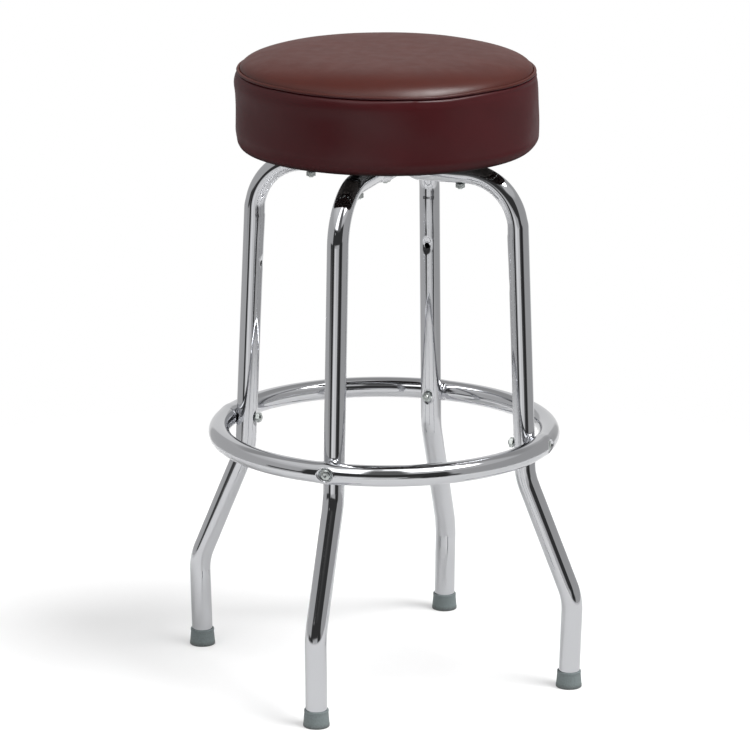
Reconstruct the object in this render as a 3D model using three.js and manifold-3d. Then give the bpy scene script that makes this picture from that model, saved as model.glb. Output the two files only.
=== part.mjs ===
// Diner counter stool. A round padded seat turns on a ball swivel, which sits on two crossed tube frames.
// A foot ring, saddled over the four legs and bolted to them, braces the frames.
// Millimetres, +Z up, the floor at z = 0 and the seat's axis at x = y = 0.
// The legs stand on the X and Y axes.
import * as THREE from "three";
import { mergeVertices } from "three/addons/utils/BufferGeometryUtils.js";
import Module from "manifold-3d";

// Running gaps
const clearance = 0.3; // between two pieces that touch
const overrun = 2; // how far a cut runs past the wall that it opens

// Leg frames: each is one tube bent to an inverted U, and the two cross under the seat
const tubeDiameter = 25.4;
const tubeWall = 1.5;
const frameHeight = 638.1; // from the floor to the top of the crossed tubes
const footRadius = 238.3; // a leg's centre line at the floor, from the stool's axis
const flareRadius = 241.4; // where the foot's line meets the slanting shin's line
const flareHeight = 111.7;
const kneeRadius = 179.8; // where the shin's line meets the long upper line
const kneeHeight = 259.3;
const shoulderRadius = 164.3; // where the upper line meets the cross tube's line
const flareBend = 75;
const kneeBend = 75;
const shoulderBend = 64.5;
const pressMargin = 1.5; // the pressed flat reaches this far past the tube that crosses it
const pressRun = 24; // length over which a tube goes from pressed to round
const pressFlatShare = 3; // how soon a pressed ring turns flat, as a multiple of its cosine
const spareHoleHeight = 494.3; // unused holes for a second foot ring
const spareHoleDiameter = 8.5;

// Foot ring
const ringTubeDiameter = 25.4;
const ringAboveKnee = 40.1;
const saddleDepth = 3.7; // how deep each leg lies in the ring
const saddlePlay = 0.5; // between a leg and its saddle
const saddleReach = 16.4; // how far along the ring a saddle is felt, to each side of its leg
const dimpleDepth = 5; // how deep the seat of each bolt head is pressed into the ring
const dimpleRun = 6; // from the seat's flat to the round tube

// Rubber foot tips
const tipFloor = 5; // rubber under the tube's end
const tipHeight = 20.5;
const tipFootDiameter = 31.4;
const tipTopDiameter = 28.6;
const tipEdge = 1; // rounded rim of the sole

// Fasteners
const boltDiameter = 6.35;
const boltHoleDiameter = 7.6;
const boltHeadDiameter = 14;
const boltHeadHeight = 3.4;
const nutWidth = 11.1; // across the flats
const nutHeight = 5;
const boltProjection = 1.8; // thread showing past a nut
const centreHeadWidth = 11.1;
const centreHeadHeight = 4;

// Swivel: two pressed square plates with ball races, held together by a spool
const plateWidth = 171;
const plateThickness = 2.3;
const plateCornerRadius = 16;
const plateBoltSpacing = 133.4; // side of the square of bolts
const raceRadius = 56;
const ballDiameter = 6.35;
const ballCount = 12;
const racePlay = 0.25; // between a ball and its race
const raceLift = 0.2; // from the tubes' seat to the underside of the race
const cageThickness = 0.7;
const cagePlay = 0.35; // above and below the cage
const cageWidth = 13;
const dishWidth = 9; // flat between the race's lip and the slope down to the rim
const dishRun = 7; // width of that slope
const spoolRadius = 37.5; // outside of the spool's sleeve
const spoolSheet = 1.4;
const spoolFlange = 6.5;
const spoolPlay = 0.5; // between the sleeve and the plates

// Seat
const seatDiameter = 361.5;
const boardThickness = 12.7;
const edgeWrap = 16.5; // foam and vinyl outside the board
const padding = 79.5; // from the board's top to the welt's centre
const weltDiameter = 4;
const weltInset = 3.6; // from the widest line of the side to the welt's centre
const crownHeight = 22.2; // the middle of the crown over the welt
const crownPower = 5.4; // how flat the middle stays
const crownShoulder = 2; // how round the crown falls to the welt
const lowerRoll = 15.4; // radius of the lower edge
const drawIn = 14; // height over which the side draws in to the welt
const vinyl = 1.2;
const turnUnder = 20; // vinyl turned in under the board, measured from the board's edge
const screwDiameter = 5.8;
const screwHeadDiameter = 11.5;
const screwHeadHeight = 2.4;
const teeNutBarrel = 8.6;
const teeNutFlangeDiameter = 19;
const teeNutFlange = 1.3;

// Facets
const tubeSides = 14;
const boreSides = 7;
const bendStep = THREE.MathUtils.degToRad(13);
const roundSides = 24;
const seatSides = 32;
const smallSides = 8;
const weltSides = 5;
const plainSpans = 7; // of the ring between two saddles
const pressSteps = 3;

// Sizes that follow from the ones above
const crossHeight = frameHeight - tubeDiameter / 2;
const ringHeight = kneeHeight + ringAboveKnee;
const tubeEndHeight = tipFloor + clearance;
const pressedDepth = (tubeDiameter - clearance) / 2;
const pressedSpread = (Math.PI / 4) * (tubeDiameter - pressedDepth);
const pressedHalfLength = pressedDepth / 2 + pressedSpread + pressMargin;
const plateBoltRadius = plateBoltSpacing / Math.SQRT2;
const raceSag = raceRadius * (1 - Math.cos(Math.PI / roundSides)); // of the race's facets inside its circle
const raceGroove = ballDiameter / 2 + racePlay + raceSag; // radius of the groove's section
const swivelHeight = 2 * (raceGroove + plateThickness + raceLift);
const plateau = swivelHeight / 2 - cageThickness / 2 - cagePlay; // top of the lower plate's raised middle
const swivelSeat = frameHeight + clearance;
const boardBottom = swivelSeat + swivelHeight + clearance;
const boardTop = boardBottom + boardThickness;
const boardRadius = seatDiameter / 2 - edgeWrap;
const weltLevel = boardTop + padding;
const seatUnderside = boardBottom - clearance - vinyl;
const weltRadius = seatDiameter / 2 - weltInset;
const panelRadius = weltRadius - weltDiameter / 2 - clearance;
const legTurns = [0, 1, 2, 3].map((quarter) => (quarter * Math.PI) / 2);
const legNames = ["right", "back", "left", "front"];

// Finishes
function finish(colour, roughness, metalness) {
  return new THREE.MeshStandardMaterial({ color: colour, roughness, metalness });
}
const chrome = finish(0xd2d3d5, 0.08, 1);
const zinc = finish(0xb4b6a8, 0.35, 1);
const blackSteel = finish(0x1b1b1d, 0.45, 0.6);
const ballSteel = finish(0xc8cacc, 0.12, 1);
const tipRubber = finish(0x66706f, 0.75, 0);
const plywood = finish(0xb08a5c, 0.8, 0);
const foam = finish(0xd9c88f, 0.95, 0);
const maroonVinyl = finish(0x542428, 0.42, 0);

// Solids that can be joined and cut
const wasm = await Module();
wasm.setup();

function toSolid(geometry) {
  const plain = geometry.clone();
  plain.deleteAttribute("normal");
  plain.deleteAttribute("uv");
  const merged = mergeVertices(plain);
  const corners = merged.index.array;
  const triangles = [];
  for (let i = 0; i < corners.length; i += 3) {
    const [a, b, c] = corners.slice(i, i + 3);
    if (a !== b && b !== c && c !== a) triangles.push(a, b, c);
  }
  const vertProperties = new Float32Array(merged.attributes.position.array);
  const triVerts = new Uint32Array(triangles);
  return new wasm.Manifold(new wasm.Mesh({ numProp: 3, vertProperties, triVerts }));
}

function toGeometry(solid) {
  const { vertProperties, triVerts } = solid.getMesh();
  const geometry = new THREE.BufferGeometry();
  geometry.setAttribute("position", new THREE.BufferAttribute(vertProperties, 3));
  geometry.setIndex(new THREE.BufferAttribute(triVerts, 1));
  geometry.computeVertexNormals();
  return geometry;
}

function cut(geometry, cutters) {
  return toGeometry(cutters.reduce((solid, cutter) => solid.subtract(toSolid(cutter)), toSolid(geometry)));
}

function join(first, second) {
  return toGeometry(toSolid(first).add(toSolid(second)));
}

// A profile of [radius, height] pairs turned about the Z axis
function turned(profile, sides) {
  const points = profile.map(([radius, height]) => new THREE.Vector2(radius, height));
  return toGeometry(toSolid(new THREE.LatheGeometry(points, sides).rotateX(Math.PI / 2)));
}

// A round bar that stands on the XY plane
function bar(diameter, length, sides = smallSides) {
  const shape = new THREE.CylinderGeometry(diameter / 2, diameter / 2, length, sides);
  return shape.rotateX(Math.PI / 2).translate(0, 0, length / 2);
}

// A flat outline with holes, raised to a thickness
function raised(shape, thickness, steps) {
  return new THREE.ExtrudeGeometry(shape, { depth: thickness, bevelEnabled: false, curveSegments: steps });
}

// A closed skin through rings of points: a run capped at both ends, or a loop that meets itself
function loft(rings, isLoop) {
  const sides = rings[0].length;
  const positions = rings.flat().flatMap((point) => [point.x, point.y, point.z]);
  const triangles = [];
  const spans = isLoop ? rings.length : rings.length - 1;
  for (let ring = 0; ring < spans; ring += 1) {
    const here = ring * sides;
    const next = ((ring + 1) % rings.length) * sides;
    for (let i = 0; i < sides; i += 1) {
      const j = (i + 1) % sides;
      triangles.push(here + i, here + j, next + j, here + i, next + j, next + i);
    }
  }
  const last = (rings.length - 1) * sides;
  for (let i = 1; i < sides - 1 && !isLoop; i += 1) {
    triangles.push(0, i + 1, i, last, last + i, last + i + 1);
  }
  const geometry = new THREE.BufferGeometry();
  geometry.setAttribute("position", new THREE.BufferAttribute(new Float32Array(positions), 3));
  geometry.setIndex(triangles);
  return geometry;
}

// Places along a flat run of straights joined by round bends, each with its direction
function bentRun(corners) {
  const places = [];
  corners.forEach(({ at, bend }, i) => {
    const before = corners[i - 1];
    const after = corners[i + 1];
    const leaving = after ? after.at.clone().sub(at).normalize() : null;
    const arriving = before ? at.clone().sub(before.at).normalize() : leaving;
    if (!before || !after) {
      places.push({ at, along: arriving });
      return;
    }
    const turn = Math.atan2(arriving.cross(leaving), arriving.dot(leaving));
    const setback = bend * Math.tan(Math.abs(turn) / 2);
    const start = at.clone().addScaledVector(arriving, -setback);
    const inward = new THREE.Vector2(-arriving.y, arriving.x).multiplyScalar(Math.sign(turn) * bend);
    const centre = start.clone().add(inward);
    const steps = Math.ceil(Math.abs(turn) / bendStep);
    for (let step = 0; step <= steps; step += 1) {
      const angle = (turn * step) / steps;
      const along = arriving.clone().rotateAround(new THREE.Vector2(), angle);
      places.push({ at: start.clone().rotateAround(centre, angle), along });
    }
  });
  return places;
}

// Half a leg frame, from the foot on the -X side to where the shoulder's bend ends. The foot is sawn level.
function halfFrameRun() {
  const corner = (radius, height, bend) => ({ at: new THREE.Vector2(-radius, height), bend });
  const run = bentRun([
    corner(footRadius, tubeEndHeight),
    corner(flareRadius, flareHeight, flareBend),
    corner(kneeRadius, kneeHeight, kneeBend),
    corner(shoulderRadius, crossHeight, shoulderBend),
    corner(0, crossHeight),
  ]).slice(0, -1);
  run[0].along = new THREE.Vector2(0, 1);
  return run;
}

// The run of the cross tube, with how far it is pressed at each place
function crossingRun() {
  const along = new THREE.Vector2(1, 0);
  const half = Array.from({ length: pressSteps + 1 }, (_, step) => {
    const share = 1 - step / pressSteps;
    const press = 1 - THREE.MathUtils.smoothstep(share, 0, 1);
    return { at: new THREE.Vector2(-pressedHalfLength - pressRun * share, crossHeight), along, press };
  });
  return [...half, ...mirrored(half)];
}

function mirrored(run) {
  const turnedRound = run.map(({ at, along, press }) => ({
    at: new THREE.Vector2(-at.x, at.y),
    along: new THREE.Vector2(along.x, -along.y),
    press,
  }));
  return turnedRound.reverse();
}

// How far a leg's centre line is from the stool's axis at a height
function legRadiusAt(height) {
  const run = halfFrameRun();
  const above = run.findIndex(({ at }) => at.y >= height);
  const top = Math.max(above < 0 ? run.length - 1 : above, 1);
  const low = run[top - 1].at;
  const high = run[top].at;
  return -THREE.MathUtils.mapLinear(height, low.y, high.y, low.x, high.x);
}

// One ring of a tube's skin at a place. Where it is pressed, its depth halves and its girth stays,
// and the side away from the press keeps its line: keptSide is 1 for the top and -1 for the underside.
function tubeRing({ at, along, press = 0 }, inset, sides, keptSide) {
  const depth = THREE.MathUtils.lerp(tubeDiameter, pressedDepth, press);
  const spread = pressedSpread * press;
  const shift = (keptSide * (tubeDiameter - depth)) / 2;
  return Array.from({ length: sides }, (_, i) => {
    const angle = (2 * Math.PI * i) / sides;
    const flat = THREE.MathUtils.clamp(Math.cos(angle) * pressFlatShare, -1, 1);
    const across = Math.cos(angle) * (depth / 2 - inset) + flat * spread;
    const outward = Math.sin(angle) * (depth / 2 - inset) + shift;
    return new THREE.Vector3(at.x - along.y * outward, across, at.y + along.x * outward);
  });
}

// A hole's cutter along the leg's own radial line, from one distance to another
function radialCutter(diameter, height, from, to, side) {
  const cutter = bar(diameter, to - from).translate(0, 0, from).rotateY(Math.PI / 2);
  return cutter.rotateZ(side > 0 ? 0 : Math.PI).translate(0, 0, height);
}

function legFrameGeometry(keptSide) {
  const half = halfFrameRun();
  const run = [...half, ...crossingRun(), ...mirrored(half)];
  const skin = loft(run.map((place) => tubeRing(place, 0, tubeSides, keptSide)), false);
  const openRun = run.map((place) => ({ ...place, at: place.at.clone() }));
  for (const end of [openRun[0], openRun[openRun.length - 1]]) {
    end.at.addScaledVector(end.along, end === openRun[0] ? -overrun : overrun);
  }
  const bore = loft(openRun.map((place) => tubeRing(place, tubeWall, boreSides, keptSide)), false);
  const through = tubeDiameter + 2 * overrun;
  const holeFoot = crossHeight - through / 2;
  const downHoles = [-plateBoltRadius, 0, plateBoltRadius].map((x) =>
    bar(boltHoleDiameter, through).translate(x, 0, holeFoot),
  );
  const ringHoles = [-1, 1].map((side) => {
    const leg = legRadiusAt(ringHeight);
    return radialCutter(boltHoleDiameter, ringHeight, leg - through / 2, leg + through / 2, side);
  });
  const spareHoles = [-1, 1].map((side) => {
    const leg = legRadiusAt(spareHoleHeight);
    return radialCutter(spareHoleDiameter, spareHoleHeight, leg - through / 2, leg, side);
  });
  return cut(skin, [bore, ...downHoles, ...ringHoles, ...spareHoles]);
}

// The upper frame's legs stand on the X axis and the lower frame's on the Y axis
function legFrames() {
  const frames = new THREE.Group();
  const upper = named("leg_frame_upper", legFrameGeometry(1), chrome);
  const lower = named("leg_frame_lower", legFrameGeometry(-1), chrome);
  lower.rotation.z = Math.PI / 2;
  frames.add(upper, lower);
  return frames;
}

function named(name, geometry, material) {
  const mesh = new THREE.Mesh(geometry, material);
  mesh.name = name;
  return mesh;
}

// Foot ring
const ringLegRadius = legRadiusAt(ringHeight);
const ringRadius = ringLegRadius + (tubeDiameter + ringTubeDiameter) / 2 - saddleDepth;
const ringReach = ringRadius + ringTubeDiameter / 2;
const saddleHalf = Math.sqrt((tubeDiameter / 2 + saddlePlay) ** 2 - (tubeDiameter / 2 - saddleDepth) ** 2);

const dimpleHalf = boltHeadDiameter / 2 + saddlePlay;

// Where the ring's skin has its sections: close together at the saddles, even in between
function ringAngles() {
  const places = [dimpleHalf / 2, dimpleHalf, saddleHalf];
  const beside = places.map((place) => place / ringRadius);
  const first = saddleReach / ringRadius;
  const before = beside.map((angle) => -angle).reverse();
  const plain = Array.from({ length: plainSpans }, (_, i) =>
    THREE.MathUtils.lerp(first, Math.PI / 2 - first, i / plainSpans),
  );
  return legTurns.flatMap((turn) => [-first, ...before, 0, ...beside, ...plain].map((angle) => turn + angle));
}

// Pushes a point of the ring's skin out of the way of every leg
function saddled(point, reach) {
  for (const turn of legTurns) {
    const leg = legRadiusAt(point.z);
    const x = point.x - leg * Math.cos(turn);
    const y = point.y - leg * Math.sin(turn);
    const push = Math.max(reach / Math.hypot(x, y), 1) - 1;
    point.x += x * push;
    point.y += y * push;
  }
  return point;
}

// Presses a point of the ring's skin in where a bolt's head is seated
function dimpled(point, outside) {
  for (const turn of legTurns) {
    const outward = point.x * Math.cos(turn) + point.y * Math.sin(turn);
    const beside = Math.abs(point.y * Math.cos(turn) - point.x * Math.sin(turn));
    const faded = THREE.MathUtils.smoothstep(beside, dimpleHalf, dimpleHalf + dimpleRun);
    const excess = outward - outside + dimpleDepth * (1 - faded);
    if (outward < 0 || excess < 0 || faded === 1) continue;
    point.x -= excess * Math.cos(turn);
    point.y -= excess * Math.sin(turn);
  }
  return point;
}

function ringSkin(inset, sides) {
  const reach = tubeDiameter / 2 + saddlePlay + inset;
  const outside = ringReach - inset;
  const radius = ringTubeDiameter / 2 - inset;
  const rings = ringAngles().map((turn) =>
    Array.from({ length: sides }, (_, i) => {
      const angle = (2 * Math.PI * i) / sides;
      const distance = ringRadius + Math.sin(angle) * radius;
      const height = ringHeight + Math.cos(angle) * radius;
      const point = new THREE.Vector3(distance * Math.cos(turn), distance * Math.sin(turn), height);
      return dimpled(saddled(point, reach), outside);
    }),
  );
  return loft(rings, true);
}

function footRing() {
  const holes = legTurns.map((turn) => {
    const from = ringRadius - ringTubeDiameter / 2 - overrun;
    return radialCutter(boltHoleDiameter, ringHeight, from, ringReach + overrun, 1).rotateZ(turn);
  });
  return named("foot_ring", cut(ringSkin(0, tubeSides), [ringSkin(tubeWall, boreSides), ...holes]), chrome);
}

// Rubber tips, one on each leg
function footTipGeometry() {
  const lean = Math.abs(legRadiusAt(tipHeight) - legRadiusAt(tubeEndHeight)) / 2;
  const bore = (tubeDiameter / 2 + lean + clearance) / Math.cos(Math.PI / tubeSides);
  return turned(
    [
      [0, 0],
      [tipFootDiameter / 2 - tipEdge, 0],
      [tipFootDiameter / 2, tipEdge],
      [tipTopDiameter / 2, tipHeight],
      [bore, tipHeight],
      [bore, tipFloor],
      [0, tipFloor],
    ],
    tubeSides,
  );
}

function footTips() {
  const tips = new THREE.Group();
  const radius = (legRadiusAt(tubeEndHeight) + legRadiusAt(tipHeight)) / 2;
  legTurns.forEach((turn, i) => {
    const tip = named(`foot_tip_${legNames[i]}`, footTipGeometry(), tipRubber);
    tip.position.set(radius * Math.cos(turn), radius * Math.sin(turn), 0);
    tips.add(tip);
  });
  return tips;
}

// A bolt with a low domed head, from the tip of its shank at 0 to its head
function domedBoltGeometry(diameter, length, headDiameter, headHeight) {
  const domeSteps = 2;
  const dome = Array.from({ length: domeSteps }, (_, i) => {
    const angle = ((i + 1) / (domeSteps + 1)) * (Math.PI / 2);
    return [(headDiameter / 2) * Math.cos(angle), length + headHeight * Math.sin(angle)];
  });
  const shank = [
    [0, 0],
    [diameter / 2, 0],
    [diameter / 2, length],
    [headDiameter / 2, length],
  ];
  return turned([...shank, ...dome, [0, length + headHeight]], smallSides);
}

function hexShape(width) {
  const corners = Array.from({ length: 6 }, (_, i) => {
    const angle = (i * Math.PI) / 3;
    const reach = width / Math.sqrt(3);
    return new THREE.Vector2(reach * Math.cos(angle), reach * Math.sin(angle));
  });
  return new THREE.Shape(corners);
}

function nutGeometry() {
  const shape = hexShape(nutWidth);
  shape.holes.push(new THREE.Path().absarc(0, 0, boltDiameter / 2 + clearance, 0, 2 * Math.PI, true));
  return raised(shape, nutHeight, smallSides / 2);
}

// Four bolts run in through the foot ring and the legs, with their nuts inside
function ringFasteners() {
  const all = new THREE.Group();
  const headSeat = ringReach - dimpleDepth + clearance;
  const nutSeat = ringLegRadius - tubeDiameter / 2 - clearance;
  const boltEnd = nutSeat - nutHeight - boltProjection;
  legTurns.forEach((turn, i) => {
    const radial = new THREE.Group();
    radial.rotation.set(0, Math.PI / 2, turn, "ZYX");
    radial.position.z = ringHeight;
    const shank = headSeat - boltEnd;
    const boltShape = domedBoltGeometry(boltDiameter, shank, boltHeadDiameter, boltHeadHeight);
    const bolt = named(`ring_bolt_${legNames[i]}`, boltShape, zinc);
    bolt.position.z = boltEnd;
    const nut = named(`ring_nut_${legNames[i]}`, nutGeometry(), zinc);
    nut.position.z = nutSeat - nutHeight;
    radial.add(bolt, nut);
    all.add(radial);
  });
  return all;
}

// Four bolts hold the swivel's lower plate to the cross tubes, with their nuts underneath
function plateFasteners() {
  const all = new THREE.Group();
  const headSeat = swivelSeat + plateThickness + clearance;
  const nutSeat = frameHeight - tubeDiameter - clearance;
  const boltEnd = nutSeat - nutHeight - boltProjection;
  const boltShape = domedBoltGeometry(boltDiameter, headSeat - boltEnd, boltHeadDiameter, screwHeadHeight);
  legTurns.forEach((turn, i) => {
    const x = plateBoltRadius * Math.cos(turn);
    const y = plateBoltRadius * Math.sin(turn);
    const bolt = named(`plate_bolt_${legNames[i]}`, boltShape, zinc);
    bolt.position.set(x, y, boltEnd);
    const nut = named(`plate_nut_${legNames[i]}`, nutGeometry(), zinc);
    nut.position.set(x, y, nutSeat - nutHeight);
    all.add(bolt, nut);
  });
  return all;
}

// The bolt that pins the two pressed tubes together where they cross
function centreFastener() {
  const headSeat = frameHeight + clearance;
  const nutSeat = frameHeight - tubeDiameter - clearance;
  const boltEnd = nutSeat - nutHeight - boltProjection;
  const head = raised(hexShape(centreHeadWidth), centreHeadHeight, 1).translate(0, 0, headSeat - boltEnd);
  const shank = bar(boltDiameter, headSeat - boltEnd + centreHeadHeight / 2);
  const bolt = named("centre_bolt", join(head, shank), zinc);
  bolt.position.z = boltEnd;
  const nut = named("centre_nut", nutGeometry(), zinc);
  nut.position.z = nutSeat - nutHeight;
  return new THREE.Group().add(bolt, nut);
}

// Heights of the lower plate's top surface by radius: the middle is raised and the ball race is sunk in it
const raceLipHalf = Math.sqrt(raceGroove ** 2 - (swivelHeight / 2 - plateau) ** 2);
const plateHole = spoolRadius + spoolPlay;

function plateTopLine() {
  const grooveSteps = 4;
  const lipAngle = Math.asin(raceLipHalf / raceGroove);
  const groove = Array.from({ length: grooveSteps + 1 }, (_, i) => {
    const angle = THREE.MathUtils.lerp(-lipAngle, lipAngle, i / grooveSteps);
    const height = swivelHeight / 2 - raceGroove * Math.cos(angle);
    return [raceRadius + raceGroove * Math.sin(angle), height];
  });
  const dishEdge = raceRadius + raceLipHalf + dishWidth;
  return [
    [plateHole, plateau],
    ...groove,
    [dishEdge, plateau],
    [dishEdge + dishRun, plateThickness],
    [dishEdge + dishRun + overrun, plateThickness],
  ];
}

function squareWithHole(holeRadius) {
  const half = plateWidth / 2;
  const inner = half - plateCornerRadius;
  const shape = new THREE.Shape();
  legTurns.forEach((turn, i) => {
    const x = i === 0 || i === 3 ? inner : -inner;
    const y = i < 2 ? inner : -inner;
    shape.absarc(x, y, plateCornerRadius, turn, turn + Math.PI / 2, false);
  });
  shape.holes.push(new THREE.Path().absarc(0, 0, holeRadius, 0, 2 * Math.PI, true));
  return shape;
}

function swivelPlateGeometry() {
  const top = plateTopLine();
  const underside = top.map(([radius, height]) => [radius, height - plateThickness]).reverse();
  const pressed = turned([...top, ...underside, top[0]].reverse(), roundSides);
  const holeRadius = top[top.length - 1][0] - overrun / 2;
  const blank = raised(squareWithHole(holeRadius), plateThickness, roundSides / 4);
  const corner = plateBoltSpacing / 2;
  const holes = [-corner, corner].flatMap((x) =>
    [-corner, corner].map((y) =>
      bar(boltHoleDiameter, plateThickness + 2 * overrun).translate(x, y, -overrun),
    ),
  );
  return cut(join(blank, pressed), holes);
}

// The upper plate is the same pressing turned over
function swivelPlates() {
  const plates = new THREE.Group();
  const lower = named("swivel_lower_plate", swivelPlateGeometry(), blackSteel);
  const upper = named("swivel_upper_plate", swivelPlateGeometry(), blackSteel);
  upper.rotation.x = Math.PI;
  upper.position.z = swivelHeight;
  plates.add(lower, upper);
  plates.rotation.z = Math.PI / 4;
  return plates;
}

// The spool's sleeve passes through both plates, and its flanges keep them from coming apart
function swivelSpool() {
  const low = plateau - plateThickness - clearance - spoolSheet;
  const high = swivelHeight - low;
  const inside = spoolRadius - spoolSheet;
  const rim = spoolRadius + spoolFlange;
  const profile = [
    [inside, low],
    [rim, low],
    [rim, low + spoolSheet],
    [spoolRadius, low + spoolSheet],
    [spoolRadius, high - spoolSheet],
    [rim, high - spoolSheet],
    [rim, high],
    [inside, high],
    [inside, low],
  ];
  return named("swivel_spool", turned(profile, roundSides), blackSteel);
}

// A flat cage spaces the balls round the race
function ballRing() {
  const ring = new THREE.Group();
  const inner = raceRadius - cageWidth / 2;
  const outer = raceRadius + cageWidth / 2;
  const blank = new THREE.Shape().absarc(0, 0, outer, 0, 2 * Math.PI, false);
  blank.holes.push(new THREE.Path().absarc(0, 0, inner, 0, 2 * Math.PI, true));
  const pockets = [];
  for (let i = 0; i < ballCount; i += 1) {
    const turn = (2 * Math.PI * i) / ballCount;
    const x = raceRadius * Math.cos(turn);
    const y = raceRadius * Math.sin(turn);
    pockets.push(bar(ballDiameter + 2 * racePlay, cageThickness + 2 * overrun).translate(x, y, -overrun));
    const ball = named(`ball_${i + 1}`, new THREE.IcosahedronGeometry(ballDiameter / 2, 1), ballSteel);
    ball.position.set(x, y, swivelHeight / 2);
    ring.add(ball);
  }
  const cage = named("ball_cage", cut(raised(blank, cageThickness, roundSides), pockets), ballSteel);
  cage.position.z = swivelHeight / 2 - cageThickness / 2;
  ring.add(cage);
  return ring;
}

// Plywood seat board with counterbored holes for the tee nuts
function seatBoard() {
  const disc = bar(2 * boardRadius, boardThickness, seatSides);
  const holes = legTurns.flatMap((turn) => {
    const x = plateBoltRadius * Math.cos(turn);
    const y = plateBoltRadius * Math.sin(turn);
    const barrel = bar(teeNutBarrel + 2 * clearance, boardThickness + 2 * overrun).translate(x, y, -overrun);
    const recess = bar(teeNutFlangeDiameter + 2 * clearance, teeNutFlange + clearance + overrun);
    return [barrel, recess.translate(x, y, boardThickness - teeNutFlange - clearance)];
  });
  const board = named("seat_board", cut(disc, holes), plywood);
  board.position.z = boardBottom;
  return board;
}

// Tee nuts are driven into the board from above, and screws come up to them through the upper plate
function seatFasteners() {
  const all = new THREE.Group();
  const bore = screwDiameter / 2 + clearance;
  const teeNutShape = turned(
    [
      [bore, 0],
      [teeNutBarrel / 2, 0],
      [teeNutBarrel / 2, boardThickness - teeNutFlange],
      [teeNutFlangeDiameter / 2, boardThickness - teeNutFlange],
      [teeNutFlangeDiameter / 2, boardThickness],
      [bore, boardThickness],
      [bore, 0],
    ],
    smallSides,
  );
  const headSeat = boardBottom - clearance - plateThickness - clearance;
  const screwLength = boardTop - headSeat;
  const screwShape = domedBoltGeometry(screwDiameter, screwLength, screwHeadDiameter, screwHeadHeight);
  legTurns.forEach((turn, i) => {
    const x = plateBoltRadius * Math.cos(turn);
    const y = plateBoltRadius * Math.sin(turn);
    const teeNut = named(`tee_nut_${legNames[i]}`, teeNutShape, zinc);
    teeNut.position.set(x, y, boardBottom);
    const screw = named(`seat_screw_${legNames[i]}`, screwShape, zinc);
    screw.rotation.x = Math.PI;
    screw.position.set(x, y, boardTop);
    all.add(teeNut, screw);
  });
  return all;
}

// The seat's outer lines as [radius, height] pairs. The crown runs from its middle down to the welt.
function crownLine() {
  const steps = 8;
  return Array.from({ length: steps + 1 }, (_, i) => {
    const share = Math.sin(((i / steps) * Math.PI) / 2);
    const fall = Math.max(1 - share ** crownPower, 0) ** (1 / crownShoulder);
    return [panelRadius * share, weltLevel + crownHeight * fall];
  });
}

// The side runs from the welt down round the lower edge and in under the board
function sideLine() {
  const side = seatDiameter / 2;
  const top = weltLevel - weltDiameter / 2 - clearance;
  const drawSteps = 2;
  const drawn = Array.from({ length: drawSteps + 1 }, (_, i) => {
    const share = 1 - i / drawSteps;
    return [side - weltInset * (1 - Math.sqrt(1 - share * share)), top - drawIn * (1 - share)];
  });
  const roll = Math.min(lowerRoll, edgeWrap);
  const rollSteps = 3;
  const rolled = Array.from({ length: rollSteps + 1 }, (_, i) => {
    const angle = ((i / rollSteps) * Math.PI) / 2;
    return [side - roll + roll * Math.cos(angle), seatUnderside + roll - roll * Math.sin(angle)];
  });
  return [...drawn, ...rolled, [boardRadius - turnUnder, seatUnderside]];
}

// A line moved inwards by a distance, square to itself. An end on the axis stays there.
function inset(line, distance) {
  return line.map(([radius, height], i) => {
    const [r0, z0] = line[Math.max(i - 1, 0)];
    const [r1, z1] = line[Math.min(i + 1, line.length - 1)];
    const length = Math.hypot(r1 - r0, z1 - z0);
    const moved = radius + ((z1 - z0) / length) * distance;
    return [radius === 0 ? 0 : moved, height - ((r1 - r0) / length) * distance];
  });
}

function seatCover() {
  const cover = new THREE.Group();
  const crown = crownLine();
  const side = sideLine();
  const panel = turned([...crown, ...inset(crown, vinyl).reverse()].reverse(), seatSides);
  const band = turned([...side, ...inset(side, vinyl).reverse(), side[0]].reverse(), seatSides);
  const cord = new THREE.TorusGeometry(weltRadius, weltDiameter / 2, weltSides, seatSides);
  const welt = cord.translate(0, 0, weltLevel);
  cover.add(named("seat_top_panel", panel, maroonVinyl));
  cover.add(named("seat_side_band", band, maroonVinyl));
  cover.add(named("seat_welt", welt, maroonVinyl));
  return cover;
}

// Foam crowned over the board and wrapped round its edge
function seatFoam() {
  const depth = vinyl + clearance;
  const crown = inset(crownLine(), depth);
  const side = inset(sideLine().slice(0, -1), depth);
  const boardEdge = boardRadius + clearance;
  const profile = [
    ...crown,
    [crown[crown.length - 1][0], side[0][1]],
    ...side,
    [boardEdge, side[side.length - 1][1]],
    [boardEdge, boardTop + clearance],
    [0, boardTop + clearance],
  ];
  return named("seat_foam", turned(profile.reverse(), seatSides), foam);
}

const stool = new THREE.Group();
stool.add(legFrames(), footRing(), footTips());
stool.add(ringFasteners(), plateFasteners(), centreFastener());
const swivel = new THREE.Group();
swivel.position.z = swivelSeat;
swivel.add(swivelPlates(), swivelSpool(), ballRing());
stool.add(swivel);
stool.add(seatBoard(), seatFasteners(), seatFoam(), seatCover());

export default stool;
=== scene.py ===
# %% [markdown]
# # Diner counter stool
#
# A counter stool is two bent steel tubes that cross under a round upholstered seat.
# The solids of the frame come from the imported model. This script dresses them: every tube and plate
# and every bolt, nut and screw gets a finer skin, the seat gets its sewn and padded cover, and a plain
# pale studio stands round it. Sizes are millimetres up to the moment a mesh is made, with +Z up and the
# seat's axis at x = y = 0, as in the solids.

import math

import bpy
import numpy as np
from mathutils import Matrix, Vector
from mathutils.bvhtree import BVHTree


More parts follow.
